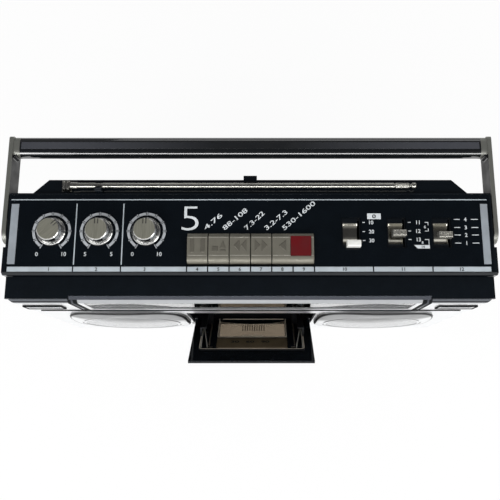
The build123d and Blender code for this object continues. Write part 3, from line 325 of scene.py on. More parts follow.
def finish(name, screen, rough, metal=0.0, wear=0.25, dust=0.1, waves=0.0, grain=None, slot=None,
           edge=0.0003, fade=0.86, **fixed):
    """Material of a screen colour with wear: duller in patches by the fade, lighter at scratches, rougher at
    dust, and bumped by waves and grain. Further arguments are fixed values of the shader's inputs."""
    colour = paint(*screen)
    made = bpy.data.materials.new(name)
    made.use_nodes = True
    made.diffuse_color = colour
    made["slot"] = slot or name
    made["rough"] = rough
    tree = made.node_tree
    place = node(tree, "TexCoord").outputs["Object"]
    worn = grouped(tree, wear_group, Vector=place)
    lighter = tuple(min(1.0, c * 1.6 + 0.03) for c in colour[:3]) + (1.0,)
    duller = tuple(c * fade for c in colour[:3]) + (1.0,)
    base = mixed(tree, mapped(tree, worn["Waves"], 0.35, 0.65), colour, duller)
    base = mixed(tree, maths(tree, "MULTIPLY", worn["Scratches"], wear), base, lighter)
    uneven = mapped(tree, worn["Waves"], 0.3, 0.7, rough * (1 - rough_spread), rough * (1 + rough_spread))
    total = maths(tree, "ADD", uneven, maths(tree, "MULTIPLY", worn["Dust"], dust))
    height = maths(tree, "MULTIPLY", worn["Waves"], waves)
    if grain:
        drawn = grouped(tree, grain_group, Vector=place, Stretch=grain)["Grain"]
        hairs = mapped(tree, drawn, 0.3, 0.7)
        base = mixed(tree, maths(tree, "MULTIPLY", hairs, hair_colour), base, duller)
        total = maths(tree, "ADD", total, maths(tree, "MULTIPLY", hairs, hair_rough))
        height = maths(tree, "ADD", height, maths(tree, "MULTIPLY", drawn, hair_height))
    rounded = node(tree, "Bevel", Radius=edge)
    rounded.samples = 4
    bump = node(tree, "Bump", Distance=bump_depth, Height=height, Normal=rounded.outputs[0])
    wire(tree, tree.nodes["Principled BSDF"], Base_Color=base, Roughness=total, Normal=bump.outputs[0],
         Metallic=metal, **fixed)
    return made


def ink(name, screen, rough=0.5, slot="scale_print", **more):
    """Finish of the printed marks and thin lines."""
    return finish(name, screen, rough, waves=0.6, slot=slot, **more)

# %% [markdown]
# The player wears few finishes: gloss black on top, silver paint on the front, and several
# metal coats. Real chrome is almost white and mirrors the room, the knobs and keys have a warm
# grey coat over plastic, and the handle is brushed along its length.

# %% The finishes
gloss_black = finish("gloss_black", (14, 19, 24), 0.07, waves=0.4, wear=0.06, dust=0.35, IOR=1.42)
plate_black = finish("plate_black", (10, 15, 20), 0.06, waves=0.25, wear=0.05, dust=0.3, IOR=1.3,
                     slot="gloss_black")
grip_black = finish("grip_black", (6, 9, 12), 0.08, waves=0.3, wear=0.05, slot="gloss_black", IOR=2.1)
grip_grey = finish("grip_grey", (22, 24, 27), 0.4, waves=0.8, slot="satin_black")
satin_black = finish("satin_black", (20, 22, 25), 0.42, waves=1.0, wear=0.15)
# Dark sheets on the inner sides of the handle's arms: painted shade.
arm_shade_dark = finish("arm_shade_dark", (24, 24, 24), 0.5, waves=0.8, slot="satin_black")
cone_black = finish("cone_black", (30, 30, 32), 0.8, waves=2.0)
rubber = finish("rubber", (28, 28, 28), 0.75, waves=1.0)
silver_front = finish("silver_front", (178, 180, 183), 0.34, metal=0.75, wear=0.08, dust=0.05, waves=0.1,
                      fade=0.93)
tweeter_silver = finish("tweeter_silver", (168, 170, 173), 0.36, metal=0.7, wear=0.05, fade=0.95,
                        slot="silver_front")
grille_metal = finish("grille_metal", (150, 151, 152), 0.34, metal=0.75, wear=0.08, dust=0.05, fade=0.95)
# Near-black ring around each grille frame: painted shade.
grille_rim_shade = finish("grille_rim_shade", (16, 17, 19), 0.5, wear=0.08, slot="grille_metal")
chrome = finish("chrome", (222, 222, 220), 0.1, metal=1.0, wear=0.2, dust=0.2)
dark_chrome = finish("dark_chrome", (84, 87, 94), 0.16, metal=1.0, wear=0.15, waves=0.2, slot="chrome")
warm_chrome = finish("warm_chrome", (176, 173, 163), 0.14, metal=1.0, wear=0.05, slot="chrome")
antenna_metal = finish("antenna_metal", (186, 185, 178), 0.22, metal=1.0, wear=0.1, slot="chrome")
tab_metal = finish("tab_metal", (190, 188, 180), 0.25, metal=0.8, wear=0.2, slot="key_metal")
# A near-white copy of the tab metal for the function tab alone: painted highlight where the light catches
# that tab.
painted_lit_tab = finish("painted_lit_tab", (244, 244, 240), 0.4, metal=0.1, wear=0.3, slot="key_metal")
zinc = finish("zinc", (175, 177, 180), 0.35, metal=1.0, waves=1.0)
handle_metal = finish("handle_metal", (132, 133, 127), 0.34, metal=0.6, wear=0.2,
                      grain=(4000.0, 40.0, 4000.0))
key_metal = finish("key_metal", (124, 121, 110), 0.4, metal=0.4, wear=0.25, waves=0.8,
                   grain=(40.0, 4000.0, 4000.0), edge=0.0006)
sign_metal = finish("sign_metal", (114, 111, 101), 0.34, metal=0.45, wear=0.1, slot="key_metal")
# Light metal for thin strips along the keys' edges: painted highlight.
key_edge_highlight = finish("key_edge_highlight", (196, 193, 182), 0.3, metal=0.5, wear=0.1, slot="key_metal")
red_plastic = finish("red_plastic", (94, 6, 13), 0.35, waves=0.8, wear=0.1)
board_green = finish("board_green", (38, 78, 48), 0.4, waves=1.0)
scale_print = finish("scale_print", (26, 30, 34), 0.35, waves=0.5)
white_ink = ink("white_ink", (214, 219, 222), 0.45, wear=0.1)
grey_ink = ink("grey_ink", (178, 187, 193), wear=0.1)
bar_ink = ink("bar_ink", (146, 153, 160), wear=0.1)
ring_ink = ink("ring_ink", (174, 178, 183), wear=0.1)
dark_ink = ink("dark_ink", (12, 14, 17), 0.6, Specular_IOR_Level=0.1)
brown_ink = ink("brown_ink", (52, 42, 30), 0.4)
brown_band = ink("brown_band", (104, 92, 72), 0.2, slot="smoked_window")
tick_ink = ink("tick_ink", (98, 86, 72), 0.4)
rail_grey = ink("rail_grey", (92, 86, 76), 0.35, slot="satin_black")
taupe_line = ink("taupe_line", (214, 204, 186), 0.35)
spring_metal = finish("spring_metal", (206, 202, 192), 0.35, metal=0.3, wear=0.1, slot="chrome")
clear_window = finish("clear_window", (236, 238, 238), 0.03, wear=0.02, Transmission_Weight=1.0, IOR=1.47)
smoked_window = finish("smoked_window", (122, 110, 95), 0.06, wear=0.02, dust=0.15,
                       Transmission_Weight=1.0, IOR=1.3)
slots = {made["slot"]: made for made in (
    silver_front, gloss_black, satin_black, chrome, clear_window, smoked_window, scale_print, red_plastic,
    grille_metal, cone_black, zinc, key_metal, handle_metal, board_green, rubber)}
slots["knob_metal"] = key_metal
print(len(bpy.data.materials), "materials")

# %% [markdown]
# Some solids wear two finishes: a knob has a brushed face and bright turned sides, a switch well
# is black around a bright trough, and the rear shell is glossy only on its ledge. Picking faces
# out of a mesh would break as soon as a size changed. A mask on the height of the surface is
# simpler, and it turns with a knob because it reads the object's own coordinates.

# %% Two finishes on one solid


def object_place(made):
    """The socket with the place on the object, in metres."""
    return next(n for n in made.node_tree.nodes if n.type == "TEX_COORD").outputs["Object"]


def coordinates(made):
    """The x, y and z sockets of the place on the object."""
    return node(made.node_tree, "SeparateXYZ", Vector=object_place(made)).outputs


def coated(made, mask, colour, rough=None, metal=None):
    """Another colour where a mask is one, and another roughness and metal where they are given."""
    tree = made.node_tree
    shader = tree.nodes["Principled BSDF"]
    below, uneven = (shader.inputs[label].links[0].from_socket for label in ("Base Color", "Roughness"))
    wire(tree, shader, Base_Color=mixed(tree, mask, below, colour))
    if rough is not None:
        change = maths(tree, "MULTIPLY", mask, rough - made["rough"])
        wire(tree, shader, Roughness=maths(tree, "ADD", uneven, change))
    if metal is not None:
        plain = shader.inputs["Metallic"].default_value
        wire(tree, shader, Metallic=mapped(tree, mask, 0.0, 1.0, plain, metal))
    return made


def above(made, height, soft, colour, rough, metal=None):
    """Another finish above a height, by a mask that rises over a soft zone below it."""
    upper = mapped(made.node_tree, coordinates(made)[2], height - soft, height)
    return coated(made, upper, colour, rough, metal)


def brushed(name, centre, top, turn):
    """Knob finish: hairs along the pointer on the face, and plain metal below the face."""
    made = finish(name, (206, 206, 204), 0.14, metal=1.0, wear=0.2, slot="knob_metal", edge=0.0004)
    tree = made.node_tree
    local = node(tree, "Mapping", Vector=object_place(made), Location=to_metres(centre).tolist(),
                 Rotation=(0.0, 0.0, math.radians(turn)))
    local.vector_type = "TEXTURE"
    drawn = grouped(tree, grain_group, Vector=local.outputs[0], Stretch=(3000.0, 60.0, 10.0))["Grain"]
    face = mixed(tree, mapped(tree, drawn, 0.3, 0.7), paint(158, 157, 144), paint(122, 121, 110))
    return above(made, top, 0.0001, face, 0.36, 0.45)


def whiter_aslant(made, low, high, colour):
    """Painted reflection: lighter where the finish is seen aslant, in place of the white floor it would
    mirror there; the facing weight is one minus the cosine of the angle.
    """
    weight = node(made.node_tree, "LayerWeight", Blend=0.5).outputs["Facing"]
    return coated(made, mapped(made.node_tree, weight, low, high), colour, metal=0.9)


def paler_ends(made, near, far, colour):
    """Painted reflection: paler from the middle of the grip to its ends, by the distance from the middle
    plane.
    """
    away = maths(made.node_tree, "ABSOLUTE", coordinates(made)[0])
    return coated(made, mapped(made.node_tree, away, near, far), colour)


def banded_front():
    """Silver front whose two ends have a dark line and a grey band along the top, outside the separators."""
    made = silver_front.copy()
    made.name = "banded_front"
    tree = made.node_tree
    x, _, z = coordinates(made)
    side = mapped(tree, maths(tree, "ABSOLUTE", x), 0.1605, 0.1606)
    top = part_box("front_cabinet")[1][2]
    for depth, colour in ((0.0031, paint(14, 15, 17)), (0.0019, paint(96, 99, 104))):
        upper = mapped(tree, z, top - depth - 0.0001, top - depth)
        coated(made, maths(tree, "MULTIPLY", side, upper), colour)
    return made


grazing_reflection_white, plate_tone, ledge_z = paint(246, 247, 248), paint(10, 15, 20), 0.216
# Painted reflection: the grip's pad is paler towards its ends.
paler_ends(grip_grey, 0.03, 0.17, paint(62, 64, 70))
# Painted reflection: the grilles, the silver front and the tweeters turn near white where they are seen
# aslant.
whiter_aslant(grille_metal, 0.79, 0.85, grazing_reflection_white)
whiter_aslant(silver_front, 0.4, 0.8, grazing_reflection_white)
whiter_aslant(tweeter_silver, 0.4, 0.8, paint(232, 233, 234))
knob_turns = {"volume_knob": -45.0, "balance_knob": 0.0, "tone_knob": 0.0}
for name, turn in knob_turns.items():
    low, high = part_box(name)
    centre = ((low[0] + high[0]) / 2 / MM, ((low[1] + high[1]) / 2 - rail_front) / MM, 0.0)
    nodes[name].data.materials.clear()
    nodes[name].data.materials.append(brushed(name + "_brushed", centre, high[2], turn))
rear_black = finish("rear_black", (13, 17, 21), 0.5, waves=2.0, slot="satin_black", IOR=1.42)
above(rear_black, ledge_z, 0.004, plate_tone, 0.08)
well_metal = above(warm_chrome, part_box("switch_wells")[1][2] - 0.0001, 0.0002, plate_tone, 0.2, 0.0)
print("knob faces at", round(high[2] / MM, 1), "mm")

# %% [markdown]
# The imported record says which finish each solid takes. Some take another one here: the control
# plate gets a black of its own, with less mirror than the cover, and the front shell gets the
# lines at its ends.

# %% Finishes on the solids
own = {"control_plate": plate_black, "antenna_clip": gloss_black, "switch_wells": well_metal,
       "door_springs": spring_metal, "handle_pins": chrome, "dial_trim": dark_chrome,
       "rear_cabinet": rear_black, "handle_grip": grip_black, "front_cabinet": banded_front(),
       "function_tab": painted_lit_tab}
antenna_parts = ("base", "knuckle", "outer_tube", "middle_tube", "tip_rod")
for made, names in ((antenna_metal, ["antenna_" + part for part in antenna_parts]),
                    (tweeter_silver, ["tweeter_left", "tweeter_right"]),
                    (tab_metal, ["mode_tab", "band_tab"])):
    own.update(dict.fromkeys(names, made))
for row in frame["record"]["subparts"]:
    name = row["node"]
    if name in knob_turns:
        continue
    nodes[name].data.materials.clear()
    nodes[name].data.materials.append(own.get(name) or slots[row["material_slot"]])

# %% [markdown]
# The marks on the control plate are printed in light ink. Here they are thin solids, 0.03 mm
# high, because a printed layer really stands a little above the plate, and because a mesh also
# survives in the exported model. Words are left out: plain numbers stand in their places.

# %% Printed lines on the control plate
panel = plane((0, 0, box_mm("control_plate")[1][2]), (1, 0, 0), (0, 1, 0))
sunk, ink_height = -0.05, 0.03
over_ink = ink_height + 0.02


def printed(*corners):
    """Flat blocks of ink, each from two corners (u0, u1, v0, v1)."""
    return [tile(*c, sunk, ink_height) for c in corners]


strip_edges = (-212.4, -154.5, -112.7, -55.1, -36.8, -18.1, 0.6, 19.1, 37.7, 56.4, 107.8, 159.6, 210.9)
strip_low, strip_high, strip_gap = 22.7, 27.0, 0.55
boxes = [(a + strip_gap, b - strip_gap, strip_low, strip_high) for a, b in zip(strip_edges, strip_edges[1:])]
piece("label_strip", laid(panel, printed(*boxes)), grey_ink)
hairline = (-212.9, 210.8, 87.4, 88.3)
side_bars = [(-212.2, -205.5, 29.3, 84.0), (204.6, 211.0, 29.3, 84.0)]
dividers = [(x - 0.5, x + 0.5, 28.8, 84.2) for x in (-154.0, -112.3)]
piece("plate_lines", laid(panel, printed(hairline, *dividers)), grey_ink)
piece("side_bars", laid(panel, printed(*side_bars)), bar_ink)
# %% [markdown]
# Each knob sits in a printed ring that is open at the bottom. Narrow gaps and ticks divide it
# almost every 30 degrees: each part of it is a strip along an arc, and each tick is a short
# radial strip. The ticks at both ends are longer.

# %% Rings around the knobs
ring_centres = [(x, 58.8) for x in (-175.0, -133.0, -91.3)]
ring_radius, ring_width, tick_width, squeeze, last_tick = 15.9, 2.4, 0.8, 0.99, 150
rings = []
for centre in ring_centres:
    for angle in range(-last_tick, last_tick + 1, 30):
        at = angle * squeeze
        reach = (13.9, 18.0) if abs(angle) == last_tick else (14.3, 17.6)
        rings.append(line_strip([arc(centre, r, at, at, 1)[0] for r in reach], tick_width, sunk, ink_height))
        if angle < last_tick:
            along = arc(centre, ring_radius, at + 3.4, at + 26.3, 8)
            rings.append(line_strip(along, ring_width, sunk, ink_height))
piece("knob_rings", laid(panel, rings), ring_ink)

# %% [markdown]
# Numbers come from Blender's own font. A text object is a curve, so it is turned into a mesh
# first and measured. Then its points are scaled to the wanted height and laid on the plane like
# any other drawing.

# %% Numbers as thin solids


def digits(text, height, width=None, weight=0.02):
    """Mesh of a text, centred: (u, v) times height over the drawn height, or u times the width, where one
    is given, over the drawn width."""
    curve = bpy.data.curves.new("drawn_text", "FONT")
    curve.body = text
    curve.offset = weight
    curve.extrude = 0.05
    curve.resolution_u = 4
    drawn = bpy.data.objects.new("drawn_text", curve)
    bpy.context.collection.objects.link(drawn)
    mesh = bpy.data.meshes.new_from_object(drawn.evaluated_get(bpy.context.evaluated_depsgraph_get()))
    points = np.empty(len(mesh.vertices) * 3)
    mesh.vertices.foreach_get("co", points)
    points = points.reshape(-1, 3)
    faces = [list(p.vertices) for p in mesh.polygons]
    bpy.data.objects.remove(drawn)
    bpy.data.curves.remove(curve)
    bpy.data.meshes.remove(mesh)
    low, high = points.min(0), points.max(0)
    scale = height / (high[1] - low[1])
    points -= (low + high) / 2
    points[:, 0] *= width / (high[0] - low[0]) if width else scale
    points[:, 1] *= scale
    return points, faces


def lettered(text, place, height, angle=0.0, width=None, weight=0.02, low=sunk, high=ink_height):
    """Text part centred on a place, with two heights. The angle turns it: u' = u cos - v sin, and
    v' = u sin + v cos."""
    points, faces = digits(text, height, width, weight)
    c, s = math.cos(math.radians(angle)), math.sin(math.radians(angle))
    u, v = points[:, 0] * c - points[:, 1] * s + place[0], points[:, 0] * s + points[:, 1] * c + place[1]
    return np.column_stack([u, v, np.where(points[:, 2] > 0, high, low)]), faces


middle = (strip_low + strip_high) / 2
strip_places = [-175.4, -134.0, -91.8] + [(a + b) / 2 for a, b in zip(strip_edges[3:9], strip_edges[4:10])]
strip_places += [82.9, 133.9, 184.9]
strip_numbers = [lettered(str(k + 1), (x, middle), 3.2, weight=0.025, high=over_ink)
                 for k, x in enumerate(strip_places)]
piece("strip_numbers", laid(panel, strip_numbers), dark_ink, smooth=False)

knob_ends = [("0", -186.9), ("10", -163.0), ("5", -144.4), ("5", -121.4), ("0", -103.0), ("10", -79.3)]
marks = [lettered(text, (x, 38.3), 3.6, weight=0.01) for text, x in knob_ends]
marks.append(lettered("5", (-53.0, 70.6), 22.0, width=15.0, weight=-0.015))
slanted = [("4.76", (-38.8, 59.6), (-24.0, 72.8)), ("88-108", (-22.1, 59.6), (-1.8, 77.4)),
           ("7.3-22", (-2.6, 59.6), (13.3, 74.7)), ("3.2-7.3", (15.0, 59.6), (33.7, 75.6)),
           ("530-1600", (30.5, 59.6), (58.7, 83.9))]
for text, start, end in slanted:
    run = np.subtract(end, start)
    length, angle = math.hypot(*run), math.degrees(math.atan2(run[1], run[0]))
    rise = np.array([-run[1], run[0]]) / length * 2.1
    marks.append(lettered(text, np.add(start, end) / 2 + rise, 4.3, angle, length, 0.012))
print(len(marks), "numbers on the left and middle")

# %% [markdown]
# Right of the keys, each slide switch has a scale of positions: short ticks, a number at each,
# and a few brackets. One number stands in a white box and is left dark.

# %% Marks beside the switches
tick = 0.35
function_rows, mode_rows, band_rows = (66.9, 58.6, 50.5), (67.0, 59.1, 51.4), (69.7, 62.3, 55.5, 48.2)
lines = [(99.4, 101.6, v) for v in function_rows] + [(139.6, 142.2, v) for v in mode_rows]
lines += [(u0, u1, v) for v in band_rows for u0, u1 in ((180.4, 185.8), (195.6, 201.8))]
marks += printed(*((u0, u1, v - tick, v + tick) for u0, u1, v in lines), (103.8, 116.0, 69.9, 75.2))
for path in ([(154.6, 67.0), (157.4, 67.0), (157.4, 64.4)], [(157.4, 61.4), (157.4, 59.1), (154.6, 59.1)],
             [(154.0, 51.4), (157.4, 51.4), (157.4, 46.4)]):
    marks.append(line_strip(path, 0.6, sunk, ink_height))
slanted_box = [(144.1, 46.4), (158.0, 46.4), (158.0, 43.3), (147.4, 43.3)]
marks.append(carried([[(u, v, h) for u, v in slanted_box] for h in (sunk, ink_height)]))
for u, rows, numbers in ((107.2, function_rows, (10, 20, 30)), (148.6, mode_rows, (11, 12, 13)),
                         (190.6, band_rows, (4, 3, 2, 1))):
    marks += [lettered(str(number), (u, v), 3.5) for number, v in zip(numbers, rows)]
marks += [lettered("6", (154.6, 62.9), 2.8), lettered("8", (151.8, 48.6), 2.4)]
piece("plate_numbers", laid(panel, marks), white_ink, smooth=False)
boxed = [lettered("0", (109.9, 72.5), 3.6, width=3.4, weight=0.03, high=over_ink),
         lettered("14", (152.2, 44.8), 2.3, weight=0.03, high=over_ink)]
piece("boxed_numbers", laid(panel, boxed), dark_ink, smooth=False)

# %% [markdown]
# The speaker grilles are bowed metal frames around perforated sheets. The CAD solids have the
# bow but no holes, so each grille is built again here and stands for its solid. The front of
# both is part of a sphere: a point at the distance r from the middle lies back by
# R minus the square root of R squared minus r squared.

# %% Perforated sheet


def thickened(points, faces, shift):
    """Closed solid from an open sheet of quads: the sheet, its shifted copy, and a wall along each edge
    that only one face has."""
    count = len(points)
    edges = np.vstack([np.stack([faces[:, k], faces[:, (k + 1) % 4]], 1) for k in range(4)])
    _, first, used = np.unique(np.sort(edges, 1), axis=0, return_index=True, return_counts=True)
    a, b = edges[first[used == 1]].T
    walls = np.stack([b, a, a + count, b + count], 1)
    return np.vstack([points, points + shift]), np.vstack([faces, faces[:, ::-1] + count, walls]).tolist()


def perforated(radius, pitch, hole, sides=12):
    """Flat sheet of hexagonal cells with round holes, as (u, v) points and quads.

    A cell's rim has its corners at pitch over root 3 and its sides' middles at half the pitch."""
    step = pitch * math.sqrt(3) / 2
    reach = int(radius / step) + 1
    centres = np.array([((i + j % 2 / 2) * pitch, j * step) for j in range(-reach, reach + 1)
                        for i in range(-reach - 1, reach + 2)
                        if math.hypot((i + j % 2 / 2) * pitch, j * step) < radius - pitch / 2])
    angles = np.radians(np.arange(sides) * 360 / sides)
    ring = np.column_stack([np.cos(angles), np.sin(angles)])
    far = np.where(np.arange(sides) % 2, pitch / math.sqrt(3), pitch / 2)[:, None]
    rims = (centres[:, None] + ring * far).reshape(-1, 2)
    holes = (centres[:, None] + ring * hole).reshape(-1, 2)
    _, first, shared = np.unique(rims.round(4), axis=0, return_index=True, return_inverse=True)
    shared = shared.reshape(-1, sides)
    inner = len(first) + np.arange(len(holes)).reshape(-1, sides)
    faces = np.stack([shared, np.roll(shared, -1, 1), np.roll(inner, -1, 1), inner], -1).reshape(-1, 4)
    return np.vstack([rims[first], holes]), faces

# %% [markdown]
# The frame around a sheet is one section carried around the middle. Each point of the section
# has its distance from the middle and its lift off the sphere, and the first and last lie on
# the wall. The outline is a superellipse: the shares of the two half widths, each to the power
# 3.6, add up to one.

# %% Grille frames and sheets
sphere, squareness, turns = 380.0, 3.6, 120
mesh_radius, lip_radius, hole_pitch, hole_radius, sheet_thickness = 50.0, 47.6, 3.0, 0.85, 0.4
turn = np.radians(np.arange(turns) * 360 / turns)
c, s = np.cos(turn), np.sin(turn)
flat, quads = perforated(mesh_radius, hole_pitch, hole_radius)
rims = []
for side in ("left", "right"):
    low, high = box_mm("grille_" + side)
    middle_x, middle_z = (low[0] + high[0]) / 2, (low[2] + high[2]) / 2
    half_x, half_z, wall_y, pole = (high[0] - low[0]) / 2, (high[2] - low[2]) / 2, high[1], low[1]

    def bowed(u, v, lift=0.0):
        """Point on the bowed front: moved towards the viewer by the lift, or back where it is negative."""
        away = np.minimum(np.hypot(u, v), sphere / 2)
        y = np.minimum(pole + sphere - np.sqrt(sphere ** 2 - away ** 2) - lift, wall_y - 0.3)
        return np.stack([middle_x + u, y, middle_z + v], -1)

    edge = (np.abs(c / half_x) ** squareness + np.abs(s / half_z) ** squareness) ** (-1 / squareness)
    profile = ((edge - 0.1, None), (edge - 0.1, -1.3), (edge - 0.5, -0.5), (edge - 1.4, 0.0),
               (lip_radius + 4.2, 0.0), (lip_radius + 3.6, -0.7), (lip_radius + 2.6, -0.7),
               (lip_radius + 2.0, 0.0), (lip_radius + 0.5, 0.0), (lip_radius, -0.5), (lip_radius, -1.2),
               (lip_radius + 3.0, None))
    section = []
    for radius, lift in profile:
        row = bowed(radius * c, radius * s, lift or 0.0)
        if lift is None:
            row[:, 1] = wall_y
        section.append(row)
    sheet = thickened(bowed(flat[:, 0], flat[:, 1], -0.6), quads, (0.0, sheet_thickness, 0.0))
    surround = carried(np.stack(section, 1), closed=True)
    made = piece("grille_" + side + "_mesh", [surround, sheet], grille_metal)
    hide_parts("grille_" + side)
    # A thin dark ring along each frame's outer edge: painted shade at the edge of the grille.
    shade_rim_profile = ((edge - 0.05, -1.3), (edge - 0.45, -0.4), (edge - 1.6, 0.12), (edge - 1.6, -0.1),
                   (edge - 0.5, -0.7))
    section = [bowed(radius * c, radius * s, lift) for radius, lift in shade_rim_profile]
    rims.append(carried(np.stack(section, 1), closed=True))
piece("grille_rim_shades", rims, grille_rim_shade)

# %% [markdown]
# The front carries thin dark lines: two beside each end of the dial, which follow the face and
# then the bevel above it, a bead along the groove, and a gasket around the dial's window. A
# clear cover fills the recess in front of the window.

# %% Lines on the front
front = plane((0, 0, 0), (1, 0, 0), (0, 0, 1))
low, high = box_mm("front_cabinet")
face_y, bevel_top = low[1], high[2]
bevel_foot = bevel_top - 4.0
groove_z, groove_half, strip_depth = 166.0, 200.0, 0.8


def down_the_front(x, width, proud):
    """Upright strip from the groove up the front face, which bends back over the bevel to the rail."""
    left, right = x - width / 2, x + width / 2
    return carried([[(left, y - proud, z), (right, y - proud, z), (right, y + strip_depth, z),
                     (left, y + strip_depth, z)]
                    for y, z in ((face_y, groove_z), (face_y, bevel_foot), (0.0, bevel_top))])


separators = [down_the_front(s * x, width, 0.03)
              for s in (-1, 1) for x, width in ((154.65, 3.9), (159.75, 2.7))]
piece("front_separators", separators, dark_ink)
piece("separator_middles", [down_the_front(s * 157.5, 1.8, 0.02) for s in (-1, 1)], dark_chrome)
bead = tile(-groove_half, groove_half, groove_z - 0.5, groove_z + 0.5, -face_y - 1.0, -face_y + 0.9)
low, high = box_mm("dial_window")
dial_side, dial_low, dial_high = high[0] - 1.3, low[2] + 2.2, high[2] - 0.8
gasket = line_strip(rectangle(-dial_side, dial_side, dial_low, dial_high), 1.4, 1.6, 2.3, closed=True)
piece("front_lines", laid(front, [bead, gasket]), dark_ink)
cover_side, cover_back = dial_side - 0.9, low[1] - 0.05
cover_low, cover_high = dial_low + 0.8, dial_high - 0.8
section = [(cover_back, cover_high), (face_y + 0.1, cover_high), (face_y + 0.75, cover_low),
           (cover_back, cover_low)]
cover = carried([[(x, y, z) for y, z in section] for x in (-cover_side, cover_side)])
piece("dial_cover", [cover], clear_window)

# %% [markdown]
# Each tweeter has a dark line around its frame and a row of slats in its mouth. The dial behind
# the window is printed with four scales, each a line with ticks and plain numbers.

# %% Tweeters and dial print
gaskets, slats = [], []
for side in ("left", "right"):
    low, high = box_mm("tweeter_" + side)
    corners = rectangle(low[0] - 0.5, high[0] + 0.5, low[2] - 0.5, high[2] + 0.5)
    gaskets.append(line_strip(corners, 1.0, -face_y - 0.3, -low[1] + 0.5, closed=True))
    for z in np.linspace(low[2] + 4.6, high[2] - 4.6, 3):
        slats.append(tile(low[0] + 2.6, high[0] - 2.6, z - 0.55, z + 0.55, -face_y - 1.2, -low[1] + 0.2))
piece("tweeter_gaskets", laid(front, gaskets), dark_ink)
piece("tweeter_slats", laid(front, slats), grille_metal)

scale_face = plane((0, 6.5, 0), (1, 0, 0), (0, 0, 1))
scale_reach, scale_rows = 128.0, (203.0, 196.5, 190.0, 183.5)
etched, raised, line_half = -0.2, 0.05, 0.15
scale_marks = []
for z, count in zip(scale_rows, (11, 15, 13, 9)):
    scale_marks.append(tile(-scale_reach, scale_reach, z - line_half, z + line_half, etched, raised))
    for k, x in enumerate(np.linspace(-scale_reach, scale_reach, 4 * count - 3)):
        tall = 1.6 if k % 4 == 0 else 0.8
        scale_marks.append(tile(x - line_half, x + line_half, z, z + tall, etched, raised))
piece("dial_lines", laid(scale_face, scale_marks), white_ink, smooth=False)
scale_texts = [(88, 92, 96, 100, 104, 108), (6, 8, 10, 12, 14, 16), (53, 60, 70, 80, 100, 160),
               (150, 180, 210, 240, 270, 300)]
number_places = np.linspace(-scale_reach + 12, scale_reach - 12, 6)
scale_numbers = [lettered(str(number), (x, z - 2.2), 2.0, low=etched, high=raised)
                 for z, row in zip(scale_rows, scale_texts) for number, x in zip(row, number_places)]
piece("dial_numbers", laid(scale_face, scale_numbers), white_ink, smooth=False)

# %% [markdown]
# The keys' signs stand a little above the keys in a metal like theirs: two bars, a square with
# a triangle over a bar, and arrows. Each sign narrows upwards, so that its sloping edges catch
# the light. It lies on the slope of the key's top, which falls by 1 mm towards the front, and
# moves with its key. A light strip at each end of that slope is a painted highlight.

# %% Signs on the keys


def embossed(*corners, edge=0.45, height=0.4):
    """Raised sign with sloping sides: the outline below, and above it the outline drawn in to its middle."""
    outline = np.array(corners, float)
    middle = outline.mean(0)
    reach = np.linalg.norm(outline - middle, axis=1).min()
    inner = middle + (outline - middle) * (1 - edge / reach)
    levels = ((outline, -0.1), (outline, 0.0), (inner, height))
    return carried([np.column_stack([shape, np.full(len(shape), h)]) for shape, h in levels])


def block_sign(*edges):
    """Raised rectangle."""
    return embossed(*rectangle(*edges))


def arrow(tip, base, v, half):
    """Raised triangle that points along u from its base to its tip."""
    corners = [(base, v - half), (tip, v), (base, v + half)]
    return embossed(*(corners if tip > base else corners[::-1]))


key_drop, key_flat, key_lip, key_middle = 1.0, 16.6, 7.0, 8.9
slope = math.atan2(key_drop, key_flat)
sign_v = key_flat / 2 + 0.4
signs = {
    "pause": [block_sign(u - 1.7, u + 1.7, sign_v - 6.0, sign_v + 6.0) for u in (-4.6, 4.6)],
    "stop": [block_sign(-5.8, -0.6, sign_v - 5.2, sign_v - 0.4),
             block_sign(1.2, 6.2, sign_v - 5.2, sign_v - 3.6),
             embossed((1.2, sign_v - 2.4), (6.2, sign_v - 2.4), (3.7, sign_v + 4.6))],
    "forward": [arrow(-5.6, -0.4, sign_v, 5.4), arrow(0.4, 5.6, sign_v, 5.4)],
    "rewind": [arrow(-0.4, -5.6, sign_v, 5.4), arrow(5.6, 0.4, sign_v, 5.4)],
    "play": [arrow(-3.2, 3.0, sign_v, 5.0)]}
for name, parts in signs.items():
    low, high = box_mm(name + "_key")
    middle_x = low[0] + key_middle
    corner = (middle_x, low[1] + key_lip, high[2] - key_drop)
    top = plane(corner, (1, 0, 0), (0, math.cos(slope), math.sin(slope)))
    piece(name + "_sign", laid(top, parts), sign_metal, name, smooth=False)
    u0, u1 = low[0] - middle_x + 0.5, high[0] - middle_x - 0.5
    # Painted highlights: a light strip at each end of the key's slope.
    edges = [tile(u0, u1, v - 0.25, v + 0.25, -0.1, 0.03) for v in (0.1, key_flat - 0.5)]
    piece(name + "_edges", laid(top, edges), key_edge_highlight, name, smooth=False)

# %% [markdown]
# The tabs of the slide switches have ribs for the finger. They are raised bars across each tab,
# placed by its own box, so that they follow if a tab starts elsewhere.

# %% Ribs on the switch tabs
rib_section = [(-0.35, 0.0), (0.35, 0.0), (0.15, 0.3), (-0.15, 0.3)]
for name in ("function", "mode", "band"):
    low, high = box_mm(name + "_tab")
    ribs = [carried([[(x, y + a, high[2] + b - 0.05) for a, b in rib_section]
                     for x in (low[0] + 1.0, high[0] - 1.0)])
            for y in np.linspace(low[1] + 1.1, high[1] - 1.1, 4)]
    piece(name + "_ribs", ribs, own[name + "_tab"], name)
